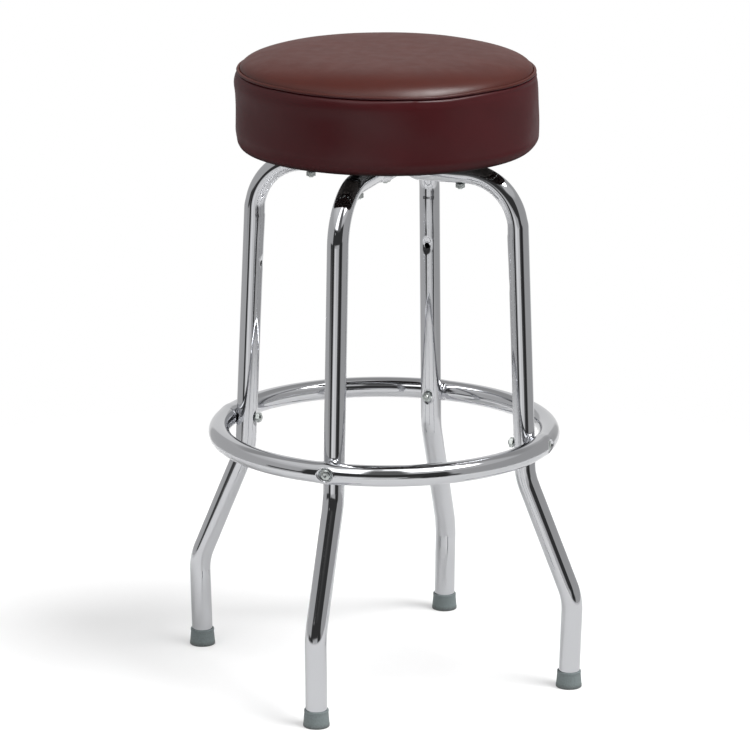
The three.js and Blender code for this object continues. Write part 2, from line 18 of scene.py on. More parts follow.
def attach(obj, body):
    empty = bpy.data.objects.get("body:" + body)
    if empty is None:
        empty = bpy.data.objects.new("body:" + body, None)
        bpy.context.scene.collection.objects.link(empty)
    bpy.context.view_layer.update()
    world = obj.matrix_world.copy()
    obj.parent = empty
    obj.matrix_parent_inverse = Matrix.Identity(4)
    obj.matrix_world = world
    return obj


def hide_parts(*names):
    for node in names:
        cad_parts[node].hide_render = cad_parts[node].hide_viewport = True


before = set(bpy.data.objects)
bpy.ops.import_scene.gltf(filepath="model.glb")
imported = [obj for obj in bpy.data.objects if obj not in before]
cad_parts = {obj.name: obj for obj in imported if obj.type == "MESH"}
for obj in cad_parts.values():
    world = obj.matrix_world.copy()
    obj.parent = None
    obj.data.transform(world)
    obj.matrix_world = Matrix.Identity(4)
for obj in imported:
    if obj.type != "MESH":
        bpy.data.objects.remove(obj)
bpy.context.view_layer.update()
print("frame loaded:", len(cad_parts), "nodes")

# %% [markdown]
# ## Shared helpers
#
# Most pieces are skins: rings of points that follow each other, joined by four-cornered faces.
# A turned piece is a skin whose rings lie round the Z axis, and a tube is one whose rings follow a
# path. Both could be made with Blender's own curves, but numbered points let dents, saddles and
# holes be pressed into them, as the tools press them into the real tube.

# %% Helpers: meshes
# Metres in a millimetre, and the angle past which an edge stays sharp.
MM = 0.001
SHARP = math.radians(38)


def new_object(name, points, faces):
    """An object in the scene whose mesh has these points, in millimetres, and these faces."""
    mesh = bpy.data.meshes.new(name)
    corners = [tuple(map(int, face)) for face in faces]
    mesh.from_pydata((np.asarray(points, float) * MM).tolist(), [], corners)
    made = bpy.data.objects.new(name, mesh)
    bpy.context.scene.collection.objects.link(made)
    return made


def make_piece(name, points, faces, body, finishes, marks=None):
    """A smooth object that rides on a body. marks gives each face's finish number."""
    piece = new_object(name, points, faces)
    mesh = piece.data
    for finish in finishes:
        mesh.materials.append(finish)
    if marks is not None:
        mesh.polygons.foreach_set("material_index", np.asarray(marks, np.int32))
    mesh.polygons.foreach_set("use_smooth", np.ones(len(mesh.polygons), bool))
    mesh.set_sharp_from_angle(angle=SHARP)
    mesh.update()
    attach(piece, body)
    return piece


def skin_faces(rings, sides, loop=False):
    """Faces between rings of points, side by side. In a loop the last ring meets the first."""
    spans = rings if loop else rings - 1
    ring, side = np.meshgrid(np.arange(spans), np.arange(sides), indexing="ij")
    after, beside = (ring + 1) % rings, (side + 1) % sides
    corners = [ring * sides + side, ring * sides + beside, after * sides + beside, after * sides + side]
    return np.stack(corners, axis=-1).reshape(-1, 4)


def fan(ring, centre):
    """Triangles from a ring of point numbers to one centre."""
    return np.stack([ring, np.roll(ring, -1), np.full(len(ring), centre)], axis=1)


def turned(profile, sides=64, turns=None):
    """A (radius, height) line turned about Z: point = (r cos turn, r sin turn, z). The line runs from below,
    out, up and back in, so that faces look outwards. An end on the axis becomes a pole, and a line that ends
    where it starts becomes a ring."""
    turns = np.linspace(0, 2 * np.pi, sides, endpoint=False) if turns is None else turns
    line = np.array(profile, float)
    closed = bool((line[0] == line[-1]).all())
    line = line[:-1] if closed else line
    radius, height = line[:, :1], line[:, 1:]
    grid = np.stack([radius * np.cos(turns), radius * np.sin(turns), height + 0 * turns], axis=-1)
    pole = np.repeat(line[:, 0] < 1e-6, len(turns))
    kept = ~pole | np.tile(np.arange(len(turns)) == 0, len(line))
    number = np.cumsum(kept) - 1
    corners = number[skin_faces(len(line), len(turns), loop=closed)]
    return grid.reshape(-1, 3)[kept], [tuple(dict.fromkeys(face)) for face in corners.tolist()]


# %% Helpers: lines and angles
def rounded(line, radius, steps=4):
    """The line with each corner replaced by a curve that reaches radius * tan(half the turn) along both
    sides, but never more than half a side."""
    line = np.asarray(line, float)
    out = [line[0]]
    for before, corner, after in zip(line, line[1:], line[2:]):
        back, ahead = before - corner, after - corner
        length_back, length_ahead = np.hypot(*back), np.hypot(*ahead)
        back, ahead = back / length_back, ahead / length_ahead
        turn = math.pi - math.acos(np.clip(back @ ahead, -1, 1))
        if turn < 0.05:
            out.append(corner)
            continue
        reach = min(radius * math.tan(turn / 2), 0.48 * length_back, 0.48 * length_ahead)
        for share in np.linspace(0, 1, steps + 1):
            out.append(corner + back * reach * (1 - share) ** 2 + ahead * reach * share**2)
    out.append(line[-1])
    return np.array(out)


def smoothstep(low, high, value):
    """0 below low, 1 above high, and the cubic 3t2 - 2t3 in between."""
    share = np.clip((np.asarray(value, float) - low) / (high - low), 0, 1)
    return share * share * (3 - 2 * share)


def bell(value, middle, width):
    """A bump of height 1 round a middle: e to the power of minus ((value - middle) / width) squared."""
    return np.exp(-(((value - middle) / width) ** 2))


def soft_max(value, floor, width):
    """The larger of two numbers, with the corner between them rounded over a width."""
    return 0.5 * (value + floor + np.sqrt((value - floor) ** 2 + width**2))


def soft_min(value, ceiling, width):
    """The smaller of two numbers, with the corner between them rounded over a width."""
    return 0.5 * (value + ceiling - np.sqrt((value - ceiling) ** 2 + width**2))


def turn_from(turns, middle):
    """Turns measured from a middle one, between minus half a turn and half a turn."""
    return (turns - middle + np.pi) % (2 * np.pi) - np.pi


def spun(points, turn):
    """Points turned about Z by an angle."""
    c, s = math.cos(turn), math.sin(turn)
    return np.asarray(points) @ np.array([[c, s, 0], [-s, c, 0], [0, 0, 1]])


def laid_radial(points, turn, radius, height):
    """Points made standing on Z, laid so that Z points outwards from the stool's axis at a turn."""
    x, y, z = np.asarray(points, float).T
    return spun(np.stack([radius + z, y, height - x], axis=1), turn)


# %% Helpers: shader nodes
def tone(code):
    """An sRGB hex colour as the linear numbers that shaders use."""
    channels = [int(code[i : i + 2], 16) / 255 for i in (1, 3, 5)]
    linear = [c / 12.92 if c <= 0.04045 else ((c + 0.055) / 1.055) ** 2.4 for c in channels]
    return (*linear, 1.0)


def per_mm(size):
    """The scale at which a texture's features are about size millimetres across."""
    return 1 / (size * MM)


def join(tree, node, inputs):
    """Sets a node's sockets by name or number, and links those whose value is another socket."""
    for name, value in inputs.items():
        if isinstance(value, bpy.types.NodeSocket):
            tree.links.new(value, node.inputs[name])
        else:
            node.inputs[name].default_value = value


def add_node(tree, kind, inputs=None, output=0, stops=(), **settings):
    """Adds one shader node with its settings and links, and gives one of its outputs, or the node itself for
    an output of None. A colour ramp has stops: (place, colour), or (place, number) for a grey."""
    node = tree.nodes.new("ShaderNode" + kind)
    for name, value in settings.items():
        setattr(node, name, value)
    join(tree, node, inputs or {})
    for _ in stops[2:]:
        node.color_ramp.elements.new(0.5)
    for i, (at, colour) in enumerate(stops):
        element = node.color_ramp.elements[i]
        element.position = at
        element.color = colour if isinstance(colour, tuple) else (colour, colour, colour, 1)
    return node if output is None else node.outputs[output]


def new_finish(name):
    """A material with a bare shader: its tree, its shader and its place on the object in metres."""
    finish = bpy.data.materials.new(name)
    finish.use_nodes = True
    tree = finish.node_tree
    shader = next(node for node in tree.nodes if node.type == "BSDF_PRINCIPLED")
    place = add_node(tree, "TexCoord", output="Object")
    return finish, tree, shader, place


# %% [markdown]
# ## Camera
#
# The photograph was taken from about 5 m with a long lens, a little above the seat. The camera's place
# was solved from the outlines of the legs, the ring and the seat, and so no shift is needed.

# %% Camera
camera_azimuth = math.radians(19.144)
camera_distance, camera_height = 5.0161, 1.7072
camera_yaw, camera_pitch, camera_roll = (math.radians(angle) for angle in (0.129, -14.948, 0.232))

camera_data = bpy.data.cameras.new("photo_camera")
camera_data.lens = 206.23
camera_data.sensor_width = 36
camera_data.clip_end = 60
camera = bpy.data.objects.new("photo_camera", camera_data)
bpy.context.scene.collection.objects.link(camera)
bpy.context.scene.camera = camera

swing, level_run = camera_azimuth + camera_yaw, math.cos(camera_pitch)
forward = Vector((-math.sin(swing) * level_run, math.cos(swing) * level_run, math.sin(camera_pitch)))
sideways = forward.cross(Vector((0, 0, 1))).normalized()
upright = sideways.cross(forward)
right = sideways * math.cos(camera_roll) + upright * math.sin(camera_roll)
up = upright * math.cos(camera_roll) - sideways * math.sin(camera_roll)
ground_x, ground_y = math.sin(camera_azimuth), -math.cos(camera_azimuth)
camera_place = Vector((camera_distance * ground_x, camera_distance * ground_y, camera_height))
camera.matrix_world = Matrix.Translation(camera_place) @ Matrix((right, up, -forward)).transposed().to_4x4()
print("camera at", tuple(round(value, 3) for value in camera_place))

# %% [markdown]
# ## Studio
#
# Chrome shows the room rather than itself. The real room was a white paper sweep with a bright
# ceiling, a dark side behind the camera and grey walls. The world draws that room by direction for
# reflections and light, while the camera sees plain white. Cards and walls could be modelled instead,
# but they would stand in the way of the other views.

# %% World
# What the chrome sees: name, azimuth, half width, lowest and highest elevation and blur in degrees, and
# radiance. Azimuth 0 is the camera's side and 90 its right. Later entries cover earlier ones.
ROOM = [
    ("upper walls", 0, 190, 33, 130, 14, 0.68),
    ("ceiling on the left", -92, 40, 46, 76, 8, 0.8),
    ("dark middle of the ceiling", -110, 75, 77, 120, 6, 0.27),
    ("right wall", 100, 52, -30, 62, 16, 0.45),
    ("ceiling behind", 180, 58, 34, 130, 12, 0.38),
    ("bright backdrop", -177, 20, -30, 33, 5, 0.78),
    ("floor", 0, 190, -150, -19, 3, 0.68),
    ("floor in front", 8, 62, -150, -19, 6, 0.84),
    ("bright floor behind", 153, 13, -26, -8, 6, 0.9),
    ("dark half of the studio", -5, 49, -2, 30, 5, 0.045),
    ("dark strip on the left", -56, 24, -11, -1, 4, 0.06),
    ("dark strip on the right", 30, 20, -15, 0, 5, 0.08),
    ("paper sweep", -12, 21, -20, -7, 4, 0.8),
    ("edge of the sweep", 0, 15, -9, -1, 3, 0.55),
    ("bright fold of the sweep", -20, 7, -22, -9, 5, 1.0),
    ("post on the left", -46, 9, -19.5, 2, 4, 0.04),
    ("post on the right", 33, 9, -19.5, 2, 4, 0.03),
    ("gap between the soft boxes", 2, 15, 27, 66, 8, 0.15),
    ("glow under the right box", 78, 36, 31, 56, 8, 0.62),
    ("soft box on the left", -31, 15, 31, 76, 4, 2.2),
    ("soft box on the right", 51, 29, 50, 79, 6, 3.5),
    ("soft box overhead", 40, 42, 75, 86, 6, 2.0),
    ("bright middle of the right box", 66, 24, 51, 71, 6, 19.5),
    ("small lamp", -37, 3, 20, 24, 3, 0.5),
]
# Radiance where no surface is listed.
WALLS = 0.52
world = bpy.data.worlds.new("studio")
bpy.context.scene.world = world
world.use_nodes = True
tree = world.node_tree
tree.nodes.clear()
direction = add_node(tree, "TexCoord", output="Generated")
swung = {"Vector": direction, "Angle": -camera_azimuth}
from_camera = add_node(tree, "VectorRotate", swung, rotation_type="Z_AXIS")
parts = add_node(tree, "SeparateXYZ", {"Vector": from_camera}, output=None).outputs
towards = add_node(tree, "Math", {0: parts["Y"], 1: -1.0}, operation="MULTIPLY")
bearing = add_node(tree, "Math", {0: parts["X"], 1: towards}, operation="ARCTAN2")
azimuth = add_node(tree, "Math", {0: bearing}, operation="DEGREES")
slope = add_node(tree, "Math", {0: parts["Z"]}, operation="ARCSINE")
elevation = add_node(tree, "Math", {0: slope}, operation="DEGREES")

radiance = WALLS
for _, middle, half_width, low, high, blur, value in ROOM:
    aside = add_node(tree, "Math", {0: azimuth, 1: float(middle)}, operation="SUBTRACT")
    aside = add_node(tree, "Math", {0: aside, 1: -180.0, 2: 180.0}, operation="WRAP")
    away = add_node(tree, "Math", {0: elevation, 1: (low + high) / 2}, operation="SUBTRACT")
    windows = []
    for offset, half in ((aside, half_width), (away, (high - low) / 2)):
        distance = add_node(tree, "Math", {0: offset}, operation="ABSOLUTE")
        edge = {"Value": distance, "From Min": half + blur / 2, "From Max": half - blur / 2}
        windows.append(add_node(tree, "MapRange", edge, interpolation_type="SMOOTHSTEP"))
    weight = add_node(tree, "Math", {0: windows[0], 1: windows[1]}, operation="MULTIPLY")
    change = add_node(tree, "Math", {0: value, 1: radiance}, operation="SUBTRACT")
    change = add_node(tree, "Math", {0: weight, 1: change}, operation="MULTIPLY")
    radiance = add_node(tree, "Math", {0: radiance, 1: change}, operation="ADD")

seen = add_node(tree, "LightPath", output="Is Camera Ray")
lit = add_node(tree, "Background", {"Color": radiance, "Strength": 1.0})
white = add_node(tree, "Background", {"Color": (1, 1, 1, 1), "Strength": 1.0})
either = add_node(tree, "MixShader", {"Fac": seen, 1: lit, 2: white})
add_node(tree, "OutputWorld", {"Surface": either}, output=None)
print("room drawn from", len(ROOM), "surfaces")

# %% [markdown]
# The floor is a sheet of white paper. It is a round disc that fades to nothing at its edge, so that it
# has no horizon, and it is clear from below, so that the stool can be looked at from there. A faint
# glow for the camera alone keeps it white without putting more light on the stool. One wide lamp
# overhead gives the soft shadow. It is kept out of the chrome, whose room is already drawn.

# %% Lamp
LAMP_WIDTH, LAMP_POWER = 3.2, 8
lamp_place = Vector((0.1, -0.3, 3.0))
lamp_data = bpy.data.lights.new("overhead", "AREA")
lamp_data.size = LAMP_WIDTH
lamp_data.energy = LAMP_POWER
lamp = bpy.data.objects.new("overhead", lamp_data)
bpy.context.scene.collection.objects.link(lamp)
lamp_turn = (-lamp_place).to_track_quat("-Z", "Y").to_matrix().to_4x4()
lamp.matrix_world = Matrix.Translation(lamp_place) @ lamp_turn
lamp.visible_glossy = False
print("lamp", LAMP_WIDTH, "m wide at", tuple(round(value, 2) for value in lamp_place))

# %% Paper floor
# Matt white paper: it gives back light evenly and shows only the shadow.
CLEAR_FROM, CLEAR_TO = 0.75, 1.25
FLOOR_RADIUS, FLOOR_LEVEL = 1300, -0.4
paper, tree, shader, place = new_finish("white_paper")
distance = add_node(tree, "VectorMath", {0: place}, output="Value", operation="LENGTH")
edge = {"Value": distance, "From Min": CLEAR_FROM, "From Max": CLEAR_TO}
fade = add_node(tree, "MapRange", edge, interpolation_type="SMOOTHSTEP")
from_below = add_node(tree, "NewGeometry", output="Backfacing")
gone = add_node(tree, "Math", {0: fade, 1: from_below}, operation="MAXIMUM")
clear = add_node(tree, "BsdfTransparent")
on_camera = add_node(tree, "LightPath", output="Is Camera Ray")
glow = add_node(tree, "Math", {0: on_camera, 1: 0.3}, operation="MULTIPLY")
join(tree, shader, {"Base Color": tone("#d2d2d2"), "Roughness": 0.9, "Specular IOR Level": 0.1})
join(tree, shader, {"Emission Color": (1, 1, 1, 1), "Emission Strength": glow})
faded = add_node(tree, "MixShader", {"Fac": gone, 1: shader.outputs[0], 2: clear})
ending = next(node for node in tree.nodes if node.type == "OUTPUT_MATERIAL")
join(tree, ending, {"Surface": faded})

floor = new_object("floor", *turned([(FLOOR_RADIUS, FLOOR_LEVEL), (0, FLOOR_LEVEL)], 96))
floor.data.materials.append(paper)
bpy.context.scene.view_settings.view_transform = "Standard"
print("studio ready: paper clear from", CLEAR_FROM, "to", CLEAR_TO, "m")

# %% [markdown]
# ## Metal finishes
#
# Each finish is named for the real material. Its pattern is laid out in real millimetres on the
# object, so haze, crystals and orange peel keep their scale on every piece. A picture could be wrapped
# round the pieces instead, but worked-out patterns need no unwrapping and have no seams.

# %% Chrome plate
# Bright chrome over nickel on a rolled steel tube. The tube's skin is never quite even, so what it
# mirrors wavers a little along the tube, and polishing leaves patches of faint haze.
chrome, tree, shader, place = new_finish("chrome_plate")
haze = add_node(tree, "TexNoise", {"Vector": place, "Scale": per_mm(26), "Detail": 4})
drawn = add_node(tree, "Mapping", {"Vector": place, "Scale": (1, 1, 0.45)})
waves = add_node(tree, "TexNoise", {"Vector": drawn, "Scale": per_mm(14), "Detail": 1})
fine = add_node(tree, "TexNoise", {"Vector": place, "Scale": per_mm(0.9), "Detail": 2})
wavy = add_node(tree, "Bump", {"Height": waves, "Distance": 0.018 * MM, "Strength": 1.0})
polished = {"Height": fine, "Distance": 0.0006 * MM, "Strength": 1.0, "Normal": wavy}
join(
    tree,
    shader,
    {
        "Base Color": tone("#cdced1"),
        "Metallic": 1.0,
        "Roughness": add_node(tree, "ValToRGB", {"Fac": haze}, stops=[(0.35, 0.035), (0.7, 0.085)]),
        "Normal": add_node(tree, "Bump", polished),
    },
)

# %% Zinc plate
# Electroplated zinc on bolts and nuts. Its thin crystals make it greyer and duller than chrome, in
# patches, with a trace of yellow from the bath.
zinc, tree, shader, place = new_finish("zinc_plate")
patches = add_node(tree, "TexNoise", {"Vector": place, "Scale": per_mm(3.2), "Detail": 3})
crystals = add_node(tree, "TexNoise", {"Vector": place, "Scale": per_mm(1.1), "Detail": 3})
grit = add_node(tree, "TexNoise", {"Vector": place, "Scale": per_mm(0.8), "Detail": 3})
greys = [(0.3, tone("#a9afae")), (0.55, tone("#c6cbc9")), (0.75, tone("#bcbfb6"))]
join(
    tree,
    shader,
    {
        "Base Color": add_node(tree, "ValToRGB", {"Fac": patches}, stops=greys),
        "Metallic": 1.0,
        "Roughness": add_node(tree, "ValToRGB", {"Fac": crystals}, stops=[(0.3, 0.2), (0.7, 0.38)]),
        "Normal": add_node(tree, "Bump", {"Height": grit, "Distance": 0.02 * MM, "Strength": 1.0}),
    },
)

# %% Black enamel
# Stoved enamel on the pressed swivel plates. It is nearly black with a low gloss, rubbed greyer here and
# there, and has the fine orange peel of a dipped coat.
black_enamel, tree, shader, place = new_finish("black_enamel")
rub = add_node(tree, "TexNoise", {"Vector": place, "Scale": per_mm(5), "Detail": 4})
peel = add_node(tree, "TexNoise", {"Vector": place, "Scale": per_mm(1.6), "Detail": 2})
blacks = [(0.35, tone("#111112")), (0.68, tone("#1b1b1d")), (0.86, tone("#2b2a29"))]
join(
    tree,
    shader,
    {
        "Base Color": add_node(tree, "ValToRGB", {"Fac": rub}, stops=blacks),
        "Roughness": add_node(tree, "ValToRGB", {"Fac": rub}, stops=[(0.3, 0.28), (0.8, 0.5)]),
        "Normal": add_node(tree, "Bump", {"Height": peel, "Distance": 0.03 * MM, "Strength": 1.0}),
    },
)

# %% Bearing steel
# Hardened and ground chrome steel, as in bearing balls. It is bright, with a film of oil that dulls it in
# places.
bearing_steel, tree, shader, place = new_finish("bearing_steel")
film = add_node(tree, "TexNoise", {"Vector": place, "Scale": per_mm(2.5), "Detail": 3})
ground = add_node(tree, "TexNoise", {"Vector": place, "Scale": per_mm(0.7), "Detail": 2})
join(
    tree,
    shader,
    {
        "Base Color": tone("#c3c5c8"),
        "Metallic": 1.0,
        "Roughness": add_node(tree, "ValToRGB", {"Fac": film}, stops=[(0.3, 0.1), (0.8, 0.3)]),
        "Normal": add_node(tree, "Bump", {"Height": ground, "Distance": 0.006 * MM, "Strength": 1.0}),
    },
)

# %% Bare steel with painted shade
# The unplated inside of the tube, seen through the spare holes: dull and a little rusty, and painted near
# black as painted shade of the hollow tube.
unplated_steel_painted_shade, tree, shader, place = new_finish("unplated_steel_inside_painted_shade")
rust = add_node(tree, "TexNoise", {"Vector": place, "Scale": per_mm(2.0), "Detail": 3})
pits = add_node(tree, "TexNoise", {"Vector": place, "Scale": per_mm(0.9), "Detail": 3})
# Near-black browns: painted shade of the hollow tube, with a little rust in them.
rust_and_shade_browns = [(0.3, tone("#0c0a09")), (0.8, tone("#241b16"))]
join(
    tree,
    shader,
    {
        "Base Color": add_node(tree, "ValToRGB", {"Fac": rust}, stops=rust_and_shade_browns),
        "Roughness": 0.8,
        "Normal": add_node(tree, "Bump", {"Height": pits, "Distance": 0.05 * MM, "Strength": 1.0}),
    },
)
print("metals:", chrome.name, zinc.name, black_enamel.name, bearing_steel.name, unplated_steel_painted_shade.name)

# %% [markdown]
# ## Rubber, plywood and vinyl
#
# These three are matt underneath. Rubber shows its wear near the floor, plywood its grain and the dark
# and light layers of its edge, and the seat's cloth a soft sheen from the clear coat over its colour.
# Height alone tells the shader where wear and layers are, and where the cloth gets its painted shade
# under the board and its painted light above the seam, since all pieces stay upright.

# %% Grey rubber
# Moulded filled rubber: matt grey with a fine speckle, scuffed dark over its lowest 6 mm.
SCUFFED_TO = 6
rubber, tree, shader, place = new_finish("grey_rubber")
speckle = add_node(tree, "TexNoise", {"Vector": place, "Scale": per_mm(1.4), "Detail": 4})
height = add_node(tree, "SeparateXYZ", {"Vector": place}, output="Z")
worn = add_node(tree, "MapRange", {"Value": height, "From Min": 0.0, "From Max": SCUFFED_TO * MM})
clean_greys = [(0.3, tone("#6a7374")), (0.7, tone("#7c8686"))]
scuffed_greys = [(0.35, tone("#474a49")), (0.7, tone("#666a69"))]
scuffed = add_node(tree, "ValToRGB", {"Fac": speckle}, stops=scuffed_greys)
clean = add_node(tree, "ValToRGB", {"Fac": speckle}, stops=clean_greys)
join(
    tree,
    shader,
    {
        "Base Color": add_node(tree, "Mix", {0: worn, 6: scuffed, 7: clean}, output=2, data_type="RGBA"),
        "Roughness": add_node(tree, "ValToRGB", {"Fac": speckle}, stops=[(0.3, 0.5), (0.8, 0.72)]),
        "Normal": add_node(tree, "Bump", {"Height": speckle, "Distance": 0.06 * MM, "Strength": 1.0}),
    },
)

# %% Plywood
# Seat board of plywood: very dark brown, grain drawn out along Y, and layers 1.8 mm thick on its edge.
PLY = 1.8
plywood, tree, shader, place = new_finish("plywood")
along_grain = add_node(tree, "Mapping", {"Vector": place, "Scale": (1, 0.06, 1)})
grain = add_node(tree, "TexNoise", {"Vector": along_grain, "Scale": per_mm(3.0), "Detail": 5})
height = add_node(tree, "SeparateXYZ", {"Vector": place}, output="Z")
plies = add_node(tree, "Math", {0: height, 1: per_mm(PLY)}, operation="MULTIPLY")
layer = add_node(tree, "Math", {0: plies, 1: 2.0}, operation="FLOORED_MODULO")
woods = [(0.3, tone("#17110d")), (0.5, tone("#211812")), (0.75, tone("#2c2018"))]
face = add_node(tree, "ValToRGB", {"Fac": grain}, stops=woods)
shade = add_node(tree, "ValToRGB", {"Fac": layer}, output=None, stops=[(0.0, 1.0), (0.51, 0.72)])
shade.color_ramp.interpolation = "CONSTANT"
layered = {0: 1.0, 6: face, 7: shade.outputs[0]}
join(
    tree,
    shader,
    {
        "Base Color": add_node(tree, "Mix", layered, output=2, data_type="RGBA", blend_type="MULTIPLY"),
        "Roughness": 0.78,
        "Normal": add_node(tree, "Bump", {"Height": grain, "Distance": 0.08 * MM, "Strength": 1.0}),
    },
)

# %% Maroon vinyl: its colour
# Vinyl-coated cloth, embossed while warm. The band keeps its wine tone. The top is painted lighter and
# browner, as painted light from above, and what is turned in under the board is painted dark, as
# painted shade.
# Heights where the cloth starts to turn in under the board, and where the top panel is sewn on.
UNDER_LEVEL = 650.0
SEAM_LEVEL = 742.0
# The cloth turned in under the board is painted near black, as painted shade.
UNDER_PAINTED_SHADE_TONE = "#130807"
BAND_TONES = ("#400b0f", "#410b10", "#430c11")
# The top's tones are painted lighter and browner than the band's, as painted light from above.
TOP_PAINTED_LIGHT_TONES = ("#431207", "#451307", "#471408")
maroon_vinyl, tree, shader, place = new_finish("maroon_vinyl")
height = add_node(tree, "SeparateXYZ", {"Vector": place}, output="Z")
cloudy = add_node(tree, "TexNoise", {"Vector": place, "Scale": per_mm(38), "Detail": 4})
# Colour climbs from the painted shade under the board to the band, then past the seam to the painted light of
# the top.
colour = tone(UNDER_PAINTED_SHADE_TONE)
for start, blur, tones in ((UNDER_LEVEL, 9, BAND_TONES), (SEAM_LEVEL, 3, TOP_PAINTED_LIGHT_TONES)):
    span = {"Value": height, "From Min": start * MM, "From Max": (start + blur) * MM}
    past = add_node(tree, "MapRange", span, interpolation_type="SMOOTHSTEP")
    stops = list(zip((0.3, 0.5, 0.72), map(tone, tones)))
    patchy = add_node(tree, "ValToRGB", {"Fac": cloudy}, stops=stops)
    colour = add_node(tree, "Mix", {0: past, 6: colour, 7: patchy}, output=2, data_type="RGBA")
join(tree, shader, {"Base Color": colour, "Roughness": 0.8, "Specular IOR Level": 0.0})

# %% Maroon vinyl: its clear coat and grain
# The clear coat gives the soft sheen over a matt colour. It is dulled near the roll under the board,
# where hands and knees rub it, and fullest on the top. Its pebbles are 1.3 mm across.
COAT_SPAN = 100
COAT_BY_HEIGHT = [(0.04, 0.12), (0.2, 0.42), (0.9, 0.42), (0.95, 0.53)]
span = {"Value": height, "From Min": UNDER_LEVEL * MM, "From Max": (UNDER_LEVEL + COAT_SPAN) * MM}
share = add_node(tree, "MapRange", span)
sheen = add_node(tree, "TexNoise", {"Vector": place, "Scale": per_mm(16), "Detail": 4})
soft = add_node(tree, "TexNoise", {"Vector": place, "Scale": per_mm(9), "Detail": 2})
cells = {"Vector": place, "Scale": per_mm(1.3), "Smoothness": 0.6, "Randomness": 1.0}
pebbles = add_node(tree, "TexVoronoi", cells, feature="SMOOTH_F1")
cushioned = add_node(tree, "Bump", {"Height": soft, "Distance": 0.03 * MM, "Strength": 1.0})
embossed = {"Height": pebbles, "Distance": 0.022 * MM, "Strength": 1.0, "Normal": cushioned}
pebbled = add_node(tree, "Bump", embossed)
join(
    tree,
    shader,
    {
        "Coat Weight": add_node(tree, "ValToRGB", {"Fac": share}, stops=COAT_BY_HEIGHT),
        "Coat Roughness": add_node(tree, "ValToRGB", {"Fac": sheen}, stops=[(0.3, 0.36), (0.7, 0.43)]),
        "Coat IOR": 1.7,
        "Normal": pebbled,
        "Coat Normal": pebbled,
    },
)
print("soft finishes:", rubber.name, plywood.name, maroon_vinyl.name)

# %% [markdown]
# ## Leg frames
#
# Each leg frame is one length of 1 inch tube. It is bent at the foot's flare, the knee and the
# shoulder, and pressed flat on one side in the middle, where it crosses the other. The path is made of
# straights and arcs, and the skin follows it with 64 sides and short steps in the bends, because chrome
# shows every facet. The unused hole for a second ring and its dent are pressed into the inner wall. At
# the shoulder the bend stretches the outer wall and draws it in, and pushes up a low ridge inside.

# %% The tube's path
TUBE = 25.4
CLEARANCE = 0.3
FRAME_HEIGHT = 638.1
CROSS_HEIGHT = FRAME_HEIGHT - TUBE / 2
# Corners of the tube's centre line, as (x, z), and the radius of each bend.
FOOT, FLARE, KNEE, SHOULDER = (-238.3, 5.3), (-241.4, 111.7), (-179.8, 259.3), (-164.3, CROSS_HEIGHT)
BENDS = {FLARE: 75.0, KNEE: 75.0, SHOULDER: 64.5}
SPARE_HOLE_HEIGHT = 494.3
RING_HEIGHT = 299.4


def path_parts():
    """The half frame from foot to crossing as parts: (length, start, direction, turn per mm)."""
    corners = [np.array(corner) for corner in (FOOT, FLARE, KNEE, SHOULDER, (0.0, CROSS_HEIGHT))]
    made, start = [], corners[0]
    for before, corner, after in zip(corners, corners[1:], corners[2:]):
        arriving = (corner - before) / np.linalg.norm(corner - before)
        leaving = (after - corner) / np.linalg.norm(after - corner)
        turn = math.atan2(arriving[0] * leaving[1] - arriving[1] * leaving[0], arriving @ leaving)
        bend = BENDS[tuple(corner)]
        setback = bend * math.tan(abs(turn) / 2)
        entry = corner - arriving * setback
        made.append((np.linalg.norm(entry - start), start, arriving, 0.0))
        made.append((bend * abs(turn), entry, arriving, math.copysign(1 / bend, turn)))
        start = corner + leaving * setback
    made.append((np.linalg.norm(corners[-1] - start), start, np.array([1.0, 0.0]), 0.0))
    return made


PARTS = path_parts()
HALF_LENGTH = sum(part[0] for part in PARTS)
SHOULDER_AT = sum(part[0] for part in PARTS[:5])
SHOULDER_LONG = PARTS[5][0]


def place_on_path(distance):
    """Where the half frame's centre line is after a distance from the foot, and which way it runs.
    On an arc the direction turns by distance / bend, and the place is start + (sin, 1 - cos) * bend."""
    for length, start, heading, curve in PARTS:
        if distance <= length or (curve == 0 and heading[0] == 1.0):
            break
        distance -= length
    if curve == 0:
        return start + heading * distance, heading
    angle, bend = distance * curve, 1 / curve
    side = np.array([-heading[1], heading[0]])
    spot = start + heading * math.sin(angle) * bend + side * (1 - math.cos(angle)) * bend
    return spot, heading * math.cos(angle) + side * math.sin(angle)


def distance_at_height(height):
    """Distance along the half frame at which its centre line reaches a height, found by halving."""
    low, high = 0.0, SHOULDER_AT
    for _ in range(50):
        middle = (low + high) / 2
        low, high = (middle, high) if place_on_path(middle)[0][1] < height else (low, middle)
    return low


def leg_radius(height):
    """Distance of the upper leg's centre line from the stool's axis."""
    return -KNEE[0] + (height - KNEE[1]) * (KNEE[0] - SHOULDER[0]) / (SHOULDER[1] - KNEE[1])


SPARE_AT = distance_at_height(SPARE_HOLE_HEIGHT)
RING_AT = distance_at_height(RING_HEIGHT)
print("half frame is", round(HALF_LENGTH, 1), "mm long, its shoulder starts at", round(SHOULDER_AT, 1))

# %% Where the skin has its sections
SIDES = 64
PITCH = math.pi * TUBE / SIDES
# A punched place is a patch of skin that reaches this many pitches each way.
WINDOW = 14
BEND_STEP, CROSSING_STEP, STRAIGHT_STEP = 1.6, 2.0, 7.0
# Sections just below the shoulder, by distance past its start.
RIDGE_STEPS = (np.arange(-52, -18, 2.0), np.arange(-18, -4, 0.7), np.arange(-4, 0, 1.3))


